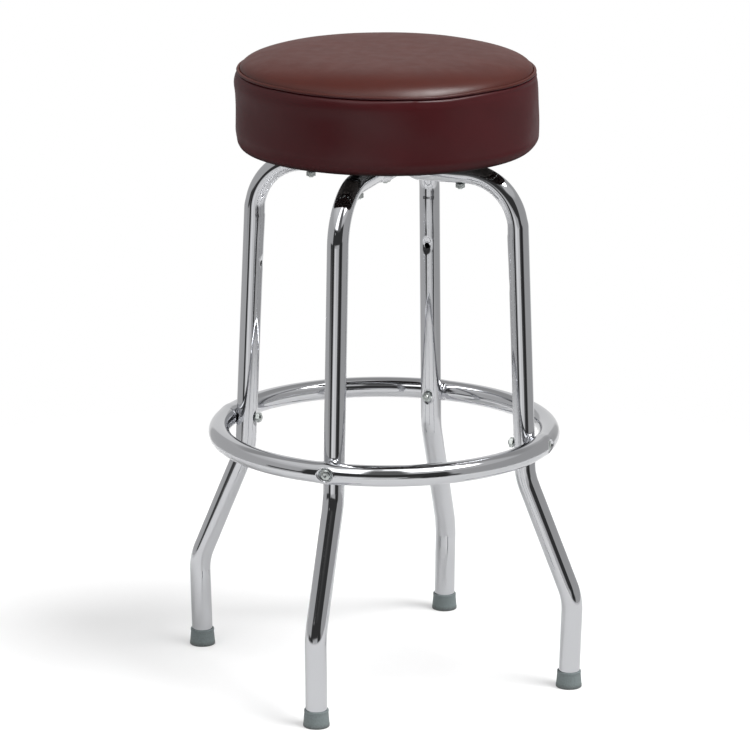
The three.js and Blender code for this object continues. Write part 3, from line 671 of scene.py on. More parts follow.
def section_distances():
    """Distances of the sections from the foot: close together in bends and at the ridge below the shoulder,
    wide apart on straights, and square with the sides near a hole."""
    spots, travelled = [0.0], 0.0
    for length, _, heading, curve in PARTS:
        step = BEND_STEP if curve else (CROSSING_STEP if heading[0] == 1.0 else STRAIGHT_STEP)
        count = max(int(math.ceil(length / step)), 1)
        spots += list(travelled + np.linspace(0, length, count + 1)[1:])
        travelled += length
    ridge = np.concatenate(RIDGE_STEPS) + SHOULDER_AT
    spots = [spot for spot in spots if not ridge[0] - 0.8 < spot < SHOULDER_AT - 0.5] + list(ridge)
    for centre in (SPARE_AT, RING_AT):
        fine = centre + PITCH * np.arange(-WINDOW, WINDOW + 1)
        spots = [spot for spot in spots if not fine[0] - 0.6 < spot < fine[-1] + 0.6] + list(fine)
    return np.array(sorted(spots))


DISTANCES = section_distances()
print("half frame has", len(DISTANCES), "sections")

# %% Pressing at the crossing and drawing at the shoulder
# The pressed tube keeps half its depth, and its width grows by the wall that this sets free.
PRESSED_DEPTH = (TUBE - CLEARANCE) / 2
PRESSED_SPREAD = math.pi / 4 * (TUBE - PRESSED_DEPTH)
PRESSED_HALF = PRESSED_DEPTH / 2 + PRESSED_SPREAD + 1.5
PRESS_RUN = 24.0
# Ridge and waist are placed by distance past the start of the shoulder's bend.
RIDGE_TOP, RIDGE_LOW, RIDGE_END = -6.0, -14.0, -52.0
RIDGE_RISE, RIDGE_EDGE = 0.5, 4.5
WAIST_DEPTH, WAIST_AT, WAIST_HALF = 0.35, 7.0, 8.0
UPPER_DRAW, LOWER_DRAW = 1.0, 2.6


def off_path(spot, heading, outward, across):
    """Points beside the centre line: outward square to it in the frame's plane, and across out of it."""
    x, z = spot[..., 0] - heading[1] * outward, spot[..., 1] + heading[0] * outward
    return np.stack([x, across, z], axis=-1)


def pressed_section(spot, heading, angles, press, kept_side):
    """A section of the tube between round and pressed: across = cos * depth / 2 + flat * spread, and
    outward = sin * depth / 2 + shift, where the kept side stays at its level."""
    depth = TUBE + (PRESSED_DEPTH - TUBE) * press
    flat = np.clip(np.cos(angles) * 3, -1, 1)
    across = np.cos(angles) * depth / 2 + flat * PRESSED_SPREAD * press
    outward = np.sin(angles) * depth / 2 + kept_side * (TUBE - depth) / 2
    return off_path(spot, heading, outward, across)


def outer_draw(past, kept_side):
    """How far the bend draws its outer wall in. The upper frame's wall is drawn in soon and evenly, and
    comes back at the end. The lower frame's goes in deepest in the middle, by depth * sin(pi * share)^2."""
    if kept_side > 0:
        drawn = UPPER_DRAW * smoothstep(0, 11, past) * (1 - 0.5 * smoothstep(28, 58, past))
        return float(drawn * (1 - smoothstep(SHOULDER_LONG - 12, SHOULDER_LONG, past)))
    share = min(max(past / SHOULDER_LONG, 0.0), 1.0)
    return LOWER_DRAW * math.sin(math.pi * share) ** 2


def bend_ripple(distance, angles, kept_side):
    """How far the wall stands out near the shoulder: the inner wall is pushed up in a low ridge below the
    bend and drawn in to a waist just above it, and the outer wall is drawn in along the bend."""
    past = distance - SHOULDER_AT
    ridge = RIDGE_RISE * smoothstep(RIDGE_TOP, RIDGE_TOP - RIDGE_EDGE, past)
    ridge = ridge * (1 - smoothstep(RIDGE_LOW, RIDGE_END, past))
    inner, outer = np.maximum(-np.sin(angles), 0) ** 2, np.maximum(np.sin(angles), 0) ** 2
    waist = WAIST_DEPTH * bell(past, WAIST_AT, WAIST_HALF)
    return (ridge - waist) * inner - outer_draw(past, kept_side) * outer


print("pressed flat for", round(2 * PRESSED_HALF, 1), "mm at the crossing")

# %% Dents and holes in the inner wall
INNER_SIDE = 3 * SIDES // 4
HOLE_CELLS = 3
HOLE_RADIUS = HOLE_CELLS * PITCH
# Each place that a punch has pressed: distance from the foot, radius of its hole, depth of its dent, and
# half the dent's length along the tube and round it.
PUNCHED = ((SPARE_AT, HOLE_RADIUS, 1.5, 12.5, 7.8), (RING_AT, 0, 1.1, 11.0, 8.6))
side_angles = 2 * np.pi * np.arange(SIDES) / SIDES
from_inner = (np.arange(SIDES) - INNER_SIDE) * PITCH
from_inner = (from_inner + SIDES * PITCH / 2) % (SIDES * PITCH) - SIDES * PITCH / 2


def hole_shift(along, around, hole):
    """Moves a square patch of skin so that its inner square becomes a round hole of the same half width:
    a point at square distance m and round distance e goes to m / e of its place, and stays at the rim."""
    square = np.maximum(abs(along), abs(around))
    true = np.hypot(along, around) + 1e-9
    keep = smoothstep(hole, (WINDOW - 3) * PITCH, square)
    scale = np.where(square > 1e-6, (1 - keep) * square / true + keep, 1.0)
    return along * scale, around * scale


def punched_section(spot, heading, along, hole, depth, long, wide):
    """A section near a punch: its points lie at tube radius - dent from the centre line, where the dent has
    its full depth in the middle and fades out over an oval."""
    slid, around = np.full(SIDES, along), from_inner
    if hole:
        slid, around = hole_shift(slid, around, hole)
    angle = 1.5 * np.pi + around / (TUBE / 2)
    dent = depth * (1 - smoothstep(0.3, 1.0, np.hypot(slid / long, around / wide)))
    reach = TUBE / 2 - dent
    base = spot + heading * (slid - along)[:, None]
    return off_path(base, heading, np.sin(angle) * reach, np.cos(angle) * reach)


print("spare holes are", round(2 * HOLE_RADIUS, 1), "mm across")

# %% Half a leg frame
# The foot is cut level up to here, and the shoulder's ripples reach this far past its bend.
FOOT_CUT = 3.0
RIPPLE_REACH = 60.0


def frame_section(distance, kept_side):
    """The 64 points of the leg frame's section at a distance from the foot, which is cut level."""
    spot, heading = place_on_path(distance)
    if distance < FOOT_CUT:
        heading = np.array([0.0, 1.0])
    for centre, *punch in PUNCHED:
        if abs(distance - centre) <= WINDOW * PITCH + 0.01:
            return punched_section(spot, heading, distance - centre, *punch)
    press = 1 - smoothstep(PRESSED_HALF, PRESSED_HALF + PRESS_RUN, abs(spot[0]))
    if spot[1] < CROSS_HEIGHT - 1:
        press = 0.0
    row = pressed_section(spot, heading, side_angles, press, kept_side)
    if abs(distance - SHOULDER_AT - SHOULDER_LONG / 2) < SHOULDER_LONG / 2 + RIPPLE_REACH:
        out = bend_ripple(distance, side_angles, kept_side)
        row = row + off_path(np.zeros(2), heading, np.sin(side_angles) * out, np.cos(side_angles) * out)
    return row


# %% [markdown]
# Behind each spare hole the tube's wall has a thickness, and behind that it is hollow. A tube with a
# second, inner wall would show that, but a short well behind the hole does it with far fewer faces. Past
# the wall's thickness the well is painted near black, as painted shade of the dark hollow. The ends of
# the tube are closed by flat caps, out of sight in the rubber tips.

# %% Leg frames
# Rings of the well: depth behind the wall, size against the hole, and finish number. Finish 1 is the
# steel painted near black as the hollow's painted shade.
WELL_RINGS = ((0.35, 0.97, 0), (1.5, 0.97, 0), (2.2, 1.25, 1), (14.0, 1.25, 1))
CHROME_MARK, HOLLOW_SHADE_MARK = 0, 1


def patch_rim(row):
    """Numbers of the points round the square of skin that is left out for a hole, in order."""
    low, high = INNER_SIDE - HOLE_CELLS, INNER_SIDE + HOLE_CELLS
    top, bottom = row + HOLE_CELLS, row - HOLE_CELLS
    rim = [(bottom, side) for side in range(low, high)] + [(r, high) for r in range(bottom, top)]
    rim += [(top, side) for side in range(high, low, -1)] + [(r, low) for r in range(top, bottom, -1)]
    return np.array(rim) @ [SIDES, 1]


def well(rim_points, rim, first, inward):
    """The well behind a hole. Ring = middle + (rim - middle) * size + inward * depth, and the last ring is
    closed by a fan. Gives its points, numbered from first, its faces and their finish numbers."""
    middle = rim_points.mean(axis=0)
    ring, rings, numbers = rim_points, [], [rim]
    for i, (depth, size, _) in enumerate(WELL_RINGS):
        ring = (rim_points - middle) * size + middle + inward * depth
        rings.append(ring)
        numbers.append(first + i * len(rim) + np.arange(len(rim)))
    rings.append(ring.mean(axis=0)[None, :])
    here, there = np.array(numbers[:-1]), np.array(numbers[1:])
    walls = [here, np.roll(here, -1, axis=1), np.roll(there, -1, axis=1), there]
    walls = np.stack(walls, axis=-1).reshape(-1, 4)
    marks = [mark for _, _, mark in WELL_RINGS for _ in rim] + [HOLLOW_SHADE_MARK] * len(rim)
    return np.concatenate(rings), [*walls, *fan(numbers[-1], first + len(WELL_RINGS) * len(rim))], marks


def leg_frame_mesh(kept_side):
    """A whole leg frame: half its skin, the same half mirrored, a well in each spare hole and capped feet."""
    half = np.array([frame_section(distance, kept_side) for distance in DISTANCES])
    rows = np.concatenate([half, half[::-1][1:] * np.array([-1.0, 1.0, 1.0])])
    count = len(rows)
    holes = [int(np.argmin(abs(DISTANCES - SPARE_AT)))]
    holes.append(count - 1 - holes[0])
    keep = np.ones((count - 1, SIDES), bool)
    for row in holes:
        keep[row - HOLE_CELLS : row + HOLE_CELLS, INNER_SIDE - HOLE_CELLS : INNER_SIDE + HOLE_CELLS] = False
    points = rows.reshape(-1, 3)
    faces = [*skin_faces(count, SIDES).reshape(count - 1, SIDES, 4)[keep]]
    marks = [CHROME_MARK] * len(faces)
    for row, sign in zip(holes, (1, -1)):
        rim = patch_rim(row)
        added = well(points[rim], rim, len(points), np.array([-sign, 0.0, 0.0]))
        points = np.concatenate([points, added[0]])
        faces += added[1]
        marks += added[2]
    for row, order in ((0, [1, 0, 2]), (count - 1, [0, 1, 2])):
        faces += [*fan(row * SIDES + np.arange(SIDES), len(points))[:, order]]
        marks += [CHROME_MARK] * SIDES
        points = np.concatenate([points, rows[row].mean(axis=0)[None, :]])
    return points, faces, marks


def leg_frame(name, node, kept_side, turn):
    """A leg frame that replaces its solid, turned about the seat's axis."""
    points, faces, marks = leg_frame_mesh(kept_side)
    piece = make_piece(name, spun(points, turn), faces, "frame", [chrome, unplated_steel_painted_shade], marks)
    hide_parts(node)
    return piece


upper_frame = leg_frame("upper_frame_tube", "leg_frame_upper", 1, 0.0)
lower_frame = leg_frame("lower_frame_tube", "leg_frame_lower", -1, math.pi / 2)
print("leg frames:", len(upper_frame.data.polygons), "and", len(lower_frame.data.polygons), "faces")

# %% [markdown]
# ## Foot ring
#
# The ring is one tube rolled to a circle. Where it passes a leg, a die presses a saddle into its inner
# wall, the wall folds a little beside it, and a punch sinks a seat for the bolt's head on the outside.
# The skin is a plain ring whose points are pushed clear of each leg's cylinder, with rounded edges.
# Cutting the leg away from the ring would leave sharp edges that pressed tube never has.

# %% The ring's sections and its folds
RING_TUBE = 25.4
SADDLE_DEPTH = 3.7
RING_RADIUS = leg_radius(RING_HEIGHT) + (TUBE + RING_TUBE) / 2 - SADDLE_DEPTH
RING_SIDES = 96
LEG_TURNS = [0.0, math.pi / 2, math.pi, 3 * math.pi / 2]
LEG_NAMES = ["right", "back", "left", "front"]
NEAR_LEG, NEAR_STEP, FAR_STEP = 27.0, 0.9, 4.0
# A fold and a swell have a depth, a place along the ring and a half width. The fold also has its place
# and half width as a share of the section's height.
FOLD_DEPTH, FOLD_BESIDE, FOLD_HALF = 1.15, 14.2, 1.7
FOLD_UPPER, FOLD_UPPER_HALF = 0.62, 0.24
SWELL_RISE, SWELL_HALF = 0.9, 9.5


def ring_places():
    """Turns of the ring's sections: close together beside a leg and wide apart between legs."""
    near = np.arange(-NEAR_LEG, NEAR_LEG + 0.01, NEAR_STEP)
    quarter = RING_RADIUS * math.pi / 2
    count = int((quarter - 2 * NEAR_LEG) / FAR_STEP) + 1
    far = np.linspace(NEAR_LEG, quarter - NEAR_LEG, count)[1:-1]
    return np.concatenate([turn + np.concatenate([near, far]) / RING_RADIUS for turn in LEG_TURNS])


def ring_tube_radius(turns, angle):
    """Radius of the ring's tube at a turn of the ring and an angle of its section: round, but folded in
    beside each saddle on its inner wall and swelled out above and below it."""
    radius = np.full_like(turns + angle, RING_TUBE / 2)
    inner, upper = np.clip(-np.sin(angle), 0, 1), abs(np.cos(angle))
    for leg in LEG_TURNS:
        offset = turn_from(turns, leg) * RING_RADIUS
        fold = bell(abs(offset), FOLD_BESIDE, FOLD_HALF) * bell(upper, FOLD_UPPER, FOLD_UPPER_HALF)
        radius = radius - FOLD_DEPTH * fold * smoothstep(0.05, 0.5, inner)
        radius = radius + SWELL_RISE * bell(offset, 0, SWELL_HALF) * smoothstep(0.35, 0.95, upper)
    return radius


print("foot ring has", len(ring_places()), "sections")

# %% Foot ring
# An edge is the width over which a pressed corner is rounded.
SADDLE_RADIUS, SADDLE_EDGE = TUBE / 2 + 0.35, 1.3
DIMPLE_DEPTH, DIMPLE_HALF, DIMPLE_SLOPE = 5.0, 7.0, 1.5
DIMPLE_REACH, DIMPLE_FLOOR_EDGE, DIMPLE_RIM_EDGE = 22.0, 0.8, 0.5


def ring_skin():
    """Section x side x 3 array of the ring's points. Each is pushed out of the leg's cylinder, and then no
    further out than the dimple's cone, which starts at the bolt seat and opens with the dimple's slope."""
    turns = ring_places()[:, None]
    angle = (2 * np.pi * np.arange(RING_SIDES) / RING_SIDES)[None, :]
    radius = ring_tube_radius(turns, angle)
    distance = RING_RADIUS + np.sin(angle) * radius
    height = RING_HEIGHT + np.cos(angle) * radius
    x, y = distance * np.cos(turns), distance * np.sin(turns)
    for leg in LEG_TURNS:
        centre = leg_radius(height)
        dx, dy = x - centre * math.cos(leg), y - centre * math.sin(leg)
        away = np.hypot(dx, dy)
        pushed = np.where(away < 30, soft_max(away, SADDLE_RADIUS, SADDLE_EDGE), away)
        x, y = x + dx * (pushed / away - 1), y + dy * (pushed / away - 1)
    for leg in LEG_TURNS:
        outward = x * math.cos(leg) + y * math.sin(leg)
        beside = y * math.cos(leg) - x * math.sin(leg)
        from_bolt = np.hypot(beside, height - RING_HEIGHT)
        rise = DIMPLE_SLOPE * soft_max(from_bolt - DIMPLE_HALF, 0, DIMPLE_FLOOR_EDGE)
        limit = RING_RADIUS + RING_TUBE / 2 - DIMPLE_DEPTH + rise
        active = (outward > 0) & (from_bolt < DIMPLE_REACH)
        sunk = np.where(active, soft_min(outward, limit, DIMPLE_RIM_EDGE), outward)
        x, y = x + (sunk - outward) * math.cos(leg), y + (sunk - outward) * math.sin(leg)
    return np.stack([x, y, height], axis=-1)


ring_points = ring_skin()
ring_faces = skin_faces(len(ring_points), RING_SIDES, loop=True)
foot_ring = make_piece("foot_ring_tube", ring_points.reshape(-1, 3), ring_faces, "frame", [chrome])
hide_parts("foot_ring")
print("foot ring:", len(foot_ring.data.polygons), "faces, centre line radius", round(RING_RADIUS, 1))

# %% [markdown]
# ## Foot tips
#
# Moulded rubber cups pushed on the tubes' ends. They are turned, because the mould is: a sole with a
# rounded rim and two grip grooves, a wall that tapers up, and a lip that grips the tube.

# %% Foot tips
TIP_HEIGHT, TIP_FOOT, TIP_TOP, TIP_FLOOR = 20.5, 31.4, 28.6, 5.0
TIP_RADIUS = (238.3 + 238.74) / 2
# The sole steps between ribs and grooves this deep.
GROOVE = 0.9


def tip_profile():
    """The cup's half section, from the sole's middle out, up the wall, over the lip and down the bore."""
    bore, foot, top = TUBE / 2 + 0.12, TIP_FOOT / 2, TIP_TOP / 2
    inner_groove = [(0, GROOVE), (6.2, GROOVE), (6.2, 0), (8.4, 0)]
    outer_groove = [(8.4, GROOVE), (10.6, GROOVE), (10.6, 0), (foot, 0)]
    wall = [(foot, 3.2), (foot - 0.35, 4.2), (top, TIP_HEIGHT - 3.4)]
    lip = [(top + 0.35, TIP_HEIGHT - 2.4), (top + 0.2, TIP_HEIGHT - 0.2), (bore + 0.3, TIP_HEIGHT)]
    inside = [(bore, TIP_HEIGHT - 1.2), (bore, TIP_FLOOR), (0, TIP_FLOOR)]
    return rounded(inner_groove + outer_groove + wall + lip + inside, 0.7)


tip_points, tip_faces = turned(tip_profile(), 72)
for turn, name in zip(LEG_TURNS, LEG_NAMES):
    spot = np.array([TIP_RADIUS * math.cos(turn), TIP_RADIUS * math.sin(turn), 0])
    tip = make_piece(f"rubber_tip_{name}", tip_points + spot, tip_faces, "frame", [rubber])
    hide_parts(f"foot_tip_{name}")
print("foot tips:", len(tip_faces), "faces each")

# %% [markdown]
# ## Fasteners
#
# Bolts have low domed heads that were cold headed, so each has a shallow dish in its middle and a soft
# rim. Nuts are hexagons whose corners are chamfered by a cone: at each height the outline is the
# smaller of the hexagon and the cone's circle. A bolt is a turned line, with each thread as one low
# tooth, since a true helix wouldn't show at this size.

# %% Bolt and nut shapes
THREAD_PITCH, THREAD_DEPTH = 1.27, 0.45
# The cone that chamfers a nut starts at this share of its width and opens by this slope.
CHAMFER_START, CHAMFER_SLOPE = 0.985, 1.9


def domed_bolt(diameter, length, head, rise, recess=0.7):
    """A bolt standing on its tip: chamfered tip, shank with thread lines, flat seat and a dome that is a
    quarter of an ellipse, rise high, with a dish of recess in its middle."""
    threaded = min(length * 0.4, 13.0)
    line = [(0, 0), (diameter / 2 - 0.6, 0), (diameter / 2 - 0.1, 0.7)]
    for i in range(int(threaded / THREAD_PITCH)):
        line.append((diameter / 2, 1.0 + i * THREAD_PITCH))
        line.append((diameter / 2 - THREAD_DEPTH, 1.0 + (i + 0.5) * THREAD_PITCH))
    line += [(diameter / 2, threaded + 1.6), (diameter / 2, length), (head / 2 - 0.25, length)]
    line += [(head / 2, length + 0.3)]
    for angle in np.linspace(0.16, math.pi / 2, 12):
        radius = head / 2 * math.cos(angle)
        dish = recess * (1 - smoothstep(0.1, 0.42, radius / (head / 2)))
        line.append((radius if radius > 1e-3 else 0.0, length + rise * math.sin(angle) - dish))
    return turned(line, 48)


def hex_nut(width, height, bore, sides=72):
    """A nut standing on Z = 0: outline radius = the least of hexagon, corner and cone circle at each height,
    then back down the bore."""
    turns = 2 * np.pi * np.arange(sides) / sides
    flat = (turns + np.pi / 6) % (np.pi / 3) - np.pi / 6
    hexagon = width / 2 / np.cos(flat)
    outer = np.array([0, 0.25, 0.6, 1.0, height / 2, height - 1.0, height - 0.6, height - 0.25, height])
    cone = width / 2 * CHAMFER_START + np.minimum(outer, height - outer) * CHAMFER_SLOPE
    outline = np.minimum(hexagon, np.minimum(cone, width / math.sqrt(3))[:, None])
    inner = np.array([height, height - 0.5, 0.5, 0])
    hole = np.array([bore + 0.5, bore, bore, bore + 0.5])[:, None] + 0 * turns
    radius = np.concatenate([outline, hole])
    level = np.concatenate([outer, inner])[:, None] + 0 * turns
    points = np.stack([radius * np.cos(turns), radius * np.sin(turns), level], axis=-1)
    return points.reshape(-1, 3), skin_faces(len(points), sides, loop=True)


# %% [markdown]
# Four bolts go through the ring and the legs, with their heads in the ring's dimples and their nuts
# inside the legs. They are made standing up and laid on their sides, head outwards.

# %% Bolts and nuts of the ring
BOLT, BOLT_HEAD = 6.35, 14
NUT_WIDTH, NUT_HEIGHT, NUT_BORE = 11.1, 5, 3.0
PROUD = 1.8
head_seat = RING_RADIUS + RING_TUBE / 2 - DIMPLE_DEPTH + CLEARANCE
nut_seat = leg_radius(RING_HEIGHT) - TUBE / 2 - CLEARANCE
bolt_end = nut_seat - NUT_HEIGHT - PROUD
bolt_points, bolt_faces = domed_bolt(BOLT, head_seat - bolt_end, BOLT_HEAD, 3.4)
nut_points, nut_faces = hex_nut(NUT_WIDTH, NUT_HEIGHT, NUT_BORE)
for turn, name in zip(LEG_TURNS, LEG_NAMES):
    laid_bolt = laid_radial(bolt_points, turn, bolt_end, RING_HEIGHT)
    bolt = make_piece(f"ring_bolt_fine_{name}", laid_bolt, bolt_faces, "frame", [zinc])
    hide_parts(f"ring_bolt_{name}")
    laid_nut = laid_radial(nut_points, turn, nut_seat - NUT_HEIGHT, RING_HEIGHT)
    nut = make_piece(f"ring_nut_fine_{name}", laid_nut, nut_faces, "frame", [zinc])
    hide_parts(f"ring_nut_{name}")
print("ring bolts:", len(bolt_faces), "faces each; nuts:", len(nut_faces))

# %% [markdown]
# Four more hold the swivel's lower plate to the tubes, with their nuts below, and one pins the two
# tubes where they cross. The centre bolt has a plain hexagon head, because the plate's raised middle
# leaves little room for it.

# %% Bolts and nuts of the swivel plate
PLATE_BOLT_RADIUS = 133.4 / math.sqrt(2)
SWIVEL_SEAT = FRAME_HEIGHT + CLEARANCE
PLATE = 2.3
PLATE_NUT_TURN, CENTRE_NUT_TURN = 0.3, 0.7
under_tube = FRAME_HEIGHT - TUBE - CLEARANCE
plate_head = SWIVEL_SEAT + PLATE + CLEARANCE
low_end = under_tube - NUT_HEIGHT - PROUD
bolt_points, bolt_faces = domed_bolt(BOLT, plate_head - low_end, BOLT_HEAD, 2.4, 0.5)
for turn, name in zip(LEG_TURNS, LEG_NAMES):
    spot = np.array([PLATE_BOLT_RADIUS * math.cos(turn), PLATE_BOLT_RADIUS * math.sin(turn), 0])
    raised_bolt = bolt_points + spot + [0, 0, low_end]
    bolt = make_piece(f"plate_bolt_fine_{name}", raised_bolt, bolt_faces, "frame", [zinc])
    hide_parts(f"plate_bolt_{name}")
    raised_nut = spun(nut_points, PLATE_NUT_TURN) + spot + [0, 0, under_tube - NUT_HEIGHT]
    nut = make_piece(f"plate_nut_fine_{name}", raised_nut, nut_faces, "frame", [zinc])
    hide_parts(f"plate_nut_{name}")
print("plate bolts are", round(plate_head - low_end, 1), "mm long under the head")

# %% Centre bolt and nut
THREADS = 10
shank_length = SWIVEL_SEAT - low_end
shank = [(0, 0), (2.6, 0), (3.1, 0.7)]
for i in range(THREADS):
    shank += [(BOLT / 2, 1.0 + i * THREAD_PITCH), (2.72, 1.0 + (i + 0.5) * THREAD_PITCH)]
shank += [(BOLT / 2, 14.5), (BOLT / 2, shank_length + 1), (0, shank_length + 1)]
shank_points, shank_faces = turned(shank, 40)
head_points, head_faces = hex_nut(NUT_WIDTH, 4, 2.2)
joined = np.concatenate([shank_points, head_points + [0, 0, shank_length]])
joined_faces = [*shank_faces, *(head_faces + len(shank_points))]
centre_bolt = make_piece("centre_bolt_fine", joined + [0, 0, low_end], joined_faces, "frame", [zinc])
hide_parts("centre_bolt")
raised_nut = spun(nut_points, CENTRE_NUT_TURN) + [0, 0, under_tube - NUT_HEIGHT]
centre_nut = make_piece("centre_nut_fine", raised_nut, nut_faces, "frame", [zinc])
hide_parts("centre_nut")
print("centre bolt's shank is", round(shank_length, 1), "mm long")

# %% [markdown]
# ## Swivel
#
# Two pressed square plates face each other with a ring of balls between their races. A rolled spool
# through the middle keeps them together. Each plate is one sheet: a polar grid of its upper surface,
# whose outer rings blend from circles to a square with round corners, and the same surface one sheet
# thickness lower.

# %% Swivel plates
BALL, BALL_PLAY = 6.35, 0.25
CAGE, CAGE_PLAY = 0.7, 0.35
RACE_RADIUS, RACE_LIFT, DISH_WIDTH = 56.0, 0.2, 9.0
# The solid race has 24 flat sides, which lie inside its circle by their sag, so its groove is that wider.
RACE_SAG = RACE_RADIUS * (1 - math.cos(math.pi / 24))
RACE_GROOVE = BALL / 2 + BALL_PLAY + RACE_SAG
SWIVEL_HEIGHT = 2 * (RACE_GROOVE + PLATE + RACE_LIFT)
PLATEAU = SWIVEL_HEIGHT / 2 - CAGE / 2 - CAGE_PLAY
SPOOL_RADIUS = 37.5
PLATE_HALF, PLATE_CORNER = 85.5, 16.0
PLATE_SIDES = 256
# Out to this radius the plate's grid is round.
ROUND_TO = 79


def square_reach(turns):
    """Distance from the middle to a square with round corners, at each turn: the side's distance, or where
    the line meets the corner's circle."""
    c, s = abs(np.cos(turns)), abs(np.sin(turns))
    reach = PLATE_HALF / np.maximum(c, s)
    inner = PLATE_HALF - PLATE_CORNER
    corner = (reach * c > inner) & (reach * s > inner)
    along = inner * (c + s)
    root = along**2 - 2 * inner**2 + PLATE_CORNER**2
    return np.where(corner, along + np.sqrt(np.maximum(root, 0)), reach)


def plate_top(radius):
    """Height of the pressed plate's upper surface: raised middle, half-round race, slope down to the rim."""
    lip = math.sqrt(RACE_GROOVE**2 - (SWIVEL_HEIGHT / 2 - PLATEAU) ** 2)
    from_race = abs(radius - RACE_RADIUS)
    groove = SWIVEL_HEIGHT / 2 - np.sqrt(np.maximum(RACE_GROOVE**2 - from_race**2, 0))
    height = np.where(from_race < lip, groove, PLATEAU)
    dish = RACE_RADIUS + lip + DISH_WIDTH
    return height + (PLATE - PLATEAU) * smoothstep(dish - 1, dish + 8, radius)


def swivel_plate(name, node, body, flipped):
    """One pressed plate, its underside and its rim; the upper plate is the same pressing turned over."""
    turns = np.linspace(0, 2 * np.pi, PLATE_SIDES, endpoint=False)
    outer = square_reach(turns)
    hole = SPOOL_RADIUS + 0.5
    radii = np.concatenate([np.arange(hole, 50, 1.5), np.arange(50, 63, 0.5), np.arange(63, ROUND_TO, 0.8)])
    top = list(zip(radii, plate_top(radii)))
    top += [(ROUND_TO + (outer - 0.5 - ROUND_TO) * share, PLATE) for share in (0.0, 0.35, 0.7, 1.0)]
    rim = [(outer - 0.12, PLATE - 0.15), (outer, PLATE - 0.5), (outer, 0.5), (outer - 0.12, 0.15)]
    under = [(r, z - PLATE) for r, z in top[::-1]]
    loop = (top + rim + under)[::-1]
    points = [np.stack([r * np.cos(turns), r * np.sin(turns), z + 0 * turns], axis=1) for r, z in loop]
    points = spun(np.concatenate(points), math.pi / 4)
    faces = skin_faces(len(loop), PLATE_SIDES, loop=True)
    if flipped:
        points = points * [1, -1, -1] + [0, 0, SWIVEL_HEIGHT]
    plate = make_piece(name, points + [0, 0, SWIVEL_SEAT], faces, body, [black_enamel])
    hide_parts(node)
    return plate


swivel_plate("lower_plate_pressed", "swivel_lower_plate", "frame", False)
swivel_plate("upper_plate_pressed", "swivel_upper_plate", "seat", True)
print("swivel height", round(SWIVEL_HEIGHT, 2))

# %% [markdown]
# The spool is a piece of thin tube whose two ends are rolled out over the plates like an eyelet. Its
# closed half section is turned, and so are the balls. They touch nothing that shows, and are plain.

# %% Spool
SPOOL_SHEET, SPOOL_FLANGE = 1.4, 6.5
spool_low = PLATEAU - PLATE - CLEARANCE - SPOOL_SHEET
spool_high = SWIVEL_HEIGHT - spool_low
flange_edge = SPOOL_RADIUS + SPOOL_FLANGE
spool_line = [
    (SPOOL_RADIUS - SPOOL_SHEET, spool_high),
    (SPOOL_RADIUS - SPOOL_SHEET, spool_low),
    (flange_edge, spool_low),
    (flange_edge, spool_low + SPOOL_SHEET),
    (SPOOL_RADIUS, spool_low + SPOOL_SHEET),
    (SPOOL_RADIUS, spool_high - SPOOL_SHEET),
    (flange_edge, spool_high - SPOOL_SHEET),
    (flange_edge, spool_high),
    (SPOOL_RADIUS - 1.0, spool_high),
]
spool_line = rounded(spool_line, 0.8)
spool_points, spool_faces = turned([*spool_line, spool_line[0]], 96)
spool = make_piece("rolled_spool", spool_points + [0, 0, SWIVEL_SEAT], spool_faces, "seat", [black_enamel])
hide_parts("swivel_spool")
print("spool:", len(spool_faces), "faces")

# %% Balls
BALLS = 12
slopes = np.linspace(0, math.pi, 13)
ball_line = np.stack([BALL / 2 * np.sin(slopes), -BALL / 2 * np.cos(slopes)], axis=1)
ball_line[[0, -1], 0] = 0
one_ball, one_faces = turned(ball_line, 24)
all_points, all_faces = [], []
for i in range(BALLS):
    turn = 2 * math.pi * i / BALLS
    spot = [RACE_RADIUS * math.cos(turn), RACE_RADIUS * math.sin(turn), SWIVEL_SEAT + SWIVEL_HEIGHT / 2]
    all_points.append(one_ball + spot)
    all_faces += [[corner + len(one_ball) * i for corner in face] for face in one_faces]
balls = make_piece("bearing_balls", np.concatenate(all_points), all_faces, "ball_ring", [bearing_steel])
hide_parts(*[f"ball_{i + 1}" for i in range(12)])
print("balls:", BALLS, "with", len(one_faces), "faces each")

# %% [markdown]
# Four screws go up through the upper plate into the tee nuts of the seat board. They are the same
# domed shape as the bolts, upside down.

# %% Screws up into the seat
SCREW, SCREW_HEAD = 5.8, 11.5
BOARD = 12.7
BOARD_BOTTOM = SWIVEL_SEAT + SWIVEL_HEIGHT + CLEARANCE
BOARD_TOP = BOARD_BOTTOM + BOARD
screw_seat = BOARD_BOTTOM - CLEARANCE - PLATE - CLEARANCE
screw_points, screw_faces = domed_bolt(SCREW, BOARD_TOP - screw_seat, SCREW_HEAD, 2.4, 0.6)
screw_points = screw_points * [1, -1, -1]
for turn, name in zip(LEG_TURNS, LEG_NAMES):
    spot = [PLATE_BOLT_RADIUS * math.cos(turn), PLATE_BOLT_RADIUS * math.sin(turn), BOARD_TOP]
    screw = make_piece(f"seat_screw_fine_{name}", screw_points + spot, screw_faces, "seat", [zinc])
    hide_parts(f"seat_screw_{name}")
print("seat screws:", len(screw_faces), "faces each; board top at", round(BOARD_TOP, 1))

# %% [markdown]
# ## Seat
#
# A plywood disc carries a foam pad under coated cloth. The cloth is a round top panel and a straight
# band, sewn together with a welt between them, pulled over the pad and stapled under the board. The pad
# is made as one crowned closed form. A cloth simulation swells a slightly smaller copy of it, held at
# the seam and underneath, and the real skin takes its unevenness from that. Modelled by hand alone it
# would look machined.

